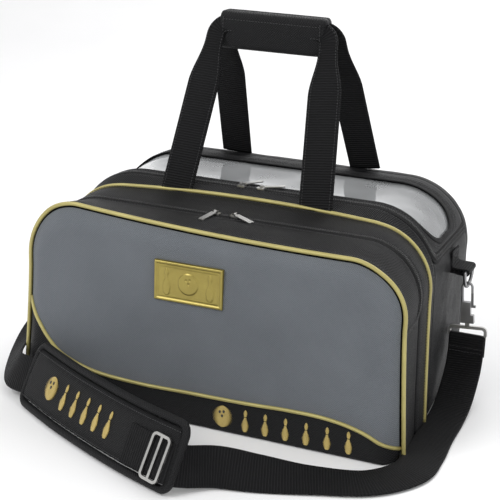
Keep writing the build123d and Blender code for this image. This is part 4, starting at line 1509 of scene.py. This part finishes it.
def padMotif(name, drawing, lift, thread):
    # each thread lies on the swollen cloth, found by looking down at it from above the pad
    threads = []
    for x0, x1, z in drawing:
        share = 0.40 + (x0 + x1) / 2 / padWhole
        upright = z if padPlace(share, 1, 0)[2].z > 0 else -z
        above, along, _, out = padPlace(share, upright, strap["above"])
        found, spot, _, _ = shoulderPad.ray_cast(above * mm, -out)
        spot = spot / mm if found else above - out * (strap["above"] - strap["padThick"] / 2)
        threads.append((spot + out * lift, along, out, x1 - x0))
    piece = satinThreads(name, threads, {"spacing": 1, "long": 1, "wide": 0.8, "high": 1.4}, thread)
    finishPiece(piece, "strap", "piping_gold")


padMotif("padEmbroidery", ballAndPins(5, 13.5, 30.0, 21.0), 0.3, goldThread)
padMotif("padFingerHoles", fingerHoles(-2.5 * 21.0, 13.5), 1.1, blackThread)
print("shoulder strap made")

# D-ring tabs
tab = {"thick": 2.0}
for side, label in ((1, "right"), (-1, "left")):
    ringLow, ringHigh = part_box("d_ring_" + label)
    barX = (ringLow.x + ringHigh.x) / 2 / mm
    barZ = ringHigh.z / mm - 2.0
    tabLow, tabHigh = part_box("d_ring_tab_" + label)
    middleY = (tabLow.y + tabHigh.y) / 2 / mm
    wide = (tabHigh.y - tabLow.y) / mm
    wallX = side * (half + 1.6)
    topZ = tabHigh.z / mm
    line = [(wallX, topZ), (wallX, topZ - 8), (wallX, barZ + 7), (wallX + side * 3, barZ + 4),
            (wallX + side * 8, barZ + 3.4)]
    for k in range(9):
        angle = math.pi / 2 - math.pi * k / 8
        line.append((barX + side * 3.3 * math.cos(angle), barZ + 3.3 * math.sin(angle)))
    line += [(wallX + side * 8, barZ - 2.6), (wallX + side * 2, barZ - 1.6),
             (wallX - side * 1, barZ - 1.4)]
    stops = [(Vector((x, middleY, z)), Vector((0, 1, 0))) for x, z in line]
    path, sides = smoothPath(stops, 2.0)
    ringTab = sweepPiece("ringTab_" + label, path, sides, flatProfile(wide, tab["thick"], 12, 0.25),
                         blackWebbing)
    finishPiece(ringTab, "bag", "webbing", "d_ring_tab_" + label)
    boxRow = [(middleY - wide / 2 + 4, barZ + 8), (middleY + wide / 2 - 4, barZ + 8),
              (middleY + wide / 2 - 4, topZ - 2.5), (middleY - wide / 2 + 4, topZ - 2.5)]
    outX = wallX + side * 1.2
    lines = [[(Vector((outX, a, b)), Vector((side, 0, 0))) for a, b in (boxRow[k], boxRow[(k + 1) % 4])]
             for k in range(4)]
    lines += [[(Vector((outX, *boxRow[k])), Vector((side, 0, 0))),
               (Vector((outX, *boxRow[k + 2])), Vector((side, 0, 0)))] for k in (0, 1)]
    sewing = alongPaths("tabStitches_" + label, lines, stitch, blackThread)
    finishPiece(sewing, "bag", "webbing")

# ball cups
for label in ("left", "right"):
    low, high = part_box("ball_cup_" + label)
    centre = (low + high) / 2 / mm
    radius = (high.x - low.x) / 2 / mm - 1
    bottom, top = low.z / mm, high.z / mm
    dish = 108.5
    profile = [(0.5, bottom + 0.2), (radius - 4, bottom + 0.2), (radius - 1, bottom + 2),
               (radius, bottom + 6), (radius, top - 6), (radius - 1.5, top - 2),
               (radius - 5, top - 0.3), (radius - 9, top - 0.5)]
    rimRadius = radius - 13
    dishZ = bottom + 5 + dish
    for k in range(14):
        reach = rimRadius * (1 - k / 13)
        profile.append((max(reach, 0.5), dishZ - math.sqrt(dish ** 2 - reach ** 2)))
    rows = [[Vector((centre.x + r * math.cos(2 * math.pi * k / 72),
                     centre.y + r * math.sin(2 * math.pi * k / 72), z)) for r, z in profile]
            for k in range(73)]
    cup = gridPiece("ballCup_" + label, rows, [[(r, z) for r, z in profile]] * 73, foam)
    tidy = bmesh.new()
    tidy.from_mesh(cup.data)
    bmesh.ops.remove_doubles(tidy, verts=tidy.verts, dist=0.0001)
    bmesh.ops.holes_fill(tidy, edges=tidy.edges)
    bmesh.ops.recalc_face_normals(tidy, faces=tidy.faces)
    tidy.to_mesh(cup.data)
    tidy.free()
    finishPiece(cup, "bag", "foam", "ball_cup_" + label)

# hard pieces that keep the frame's shape
kept = {"base_panel": frameNylon, "base_board": liningCloth, "divider_wall": liningCloth,
        "strap_slide": nickel}
for label in ("left", "right"):
    kept.update({"d_ring_" + label: gunmetal, "snap_hook_" + label: gunmetal,
                 "hook_gate_" + label: gunmetal, "hook_eye_" + label: nickel,
                 "lid_slider_" + label: nickel, "lid_pull_" + label: nickel,
                 "pocket_slider_" + label: nickel, "pocket_pull_" + label: nickel})
for node, finish in kept.items():
    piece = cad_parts[node]
    piece.data.materials.clear()
    piece.data.materials.append(finish)

# floor
def studioSweep():
    bend, start, reach = studio["bend"], studio["wallStart"], studio["floorHalf"]
    section = [(-reach, 0.0), (start, 0.0)]
    turns = [math.pi / 2 * k / 12 for k in range(1, 13)]
    section += [(start + bend * math.sin(a), bend - bend * math.cos(a)) for a in turns]
    section.append((start + bend, 3.5))
    rows = [[Vector((x / mm, y / mm, z / mm)) for y, z in section] for x in (-reach, 0.0, reach)]
    finish = Finish("paleFloor", Roughness=0.7)
    haze = finish.cloud(finish.place(False), 3.0)
    finish.wear(finish.blend(haze, rgb(0.86, 0.86, 0.87), rgb(0.93, 0.93, 0.93)), 0.65 + 0.1 * haze,
                haze, 0.0005, 0.1)
    floor = gridPiece("studioFloor", rows, [[(0, 0)] * len(section)] * 3, finish.material)
    floor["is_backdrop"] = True


studioSweep()
low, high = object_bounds()
print("scene ready")
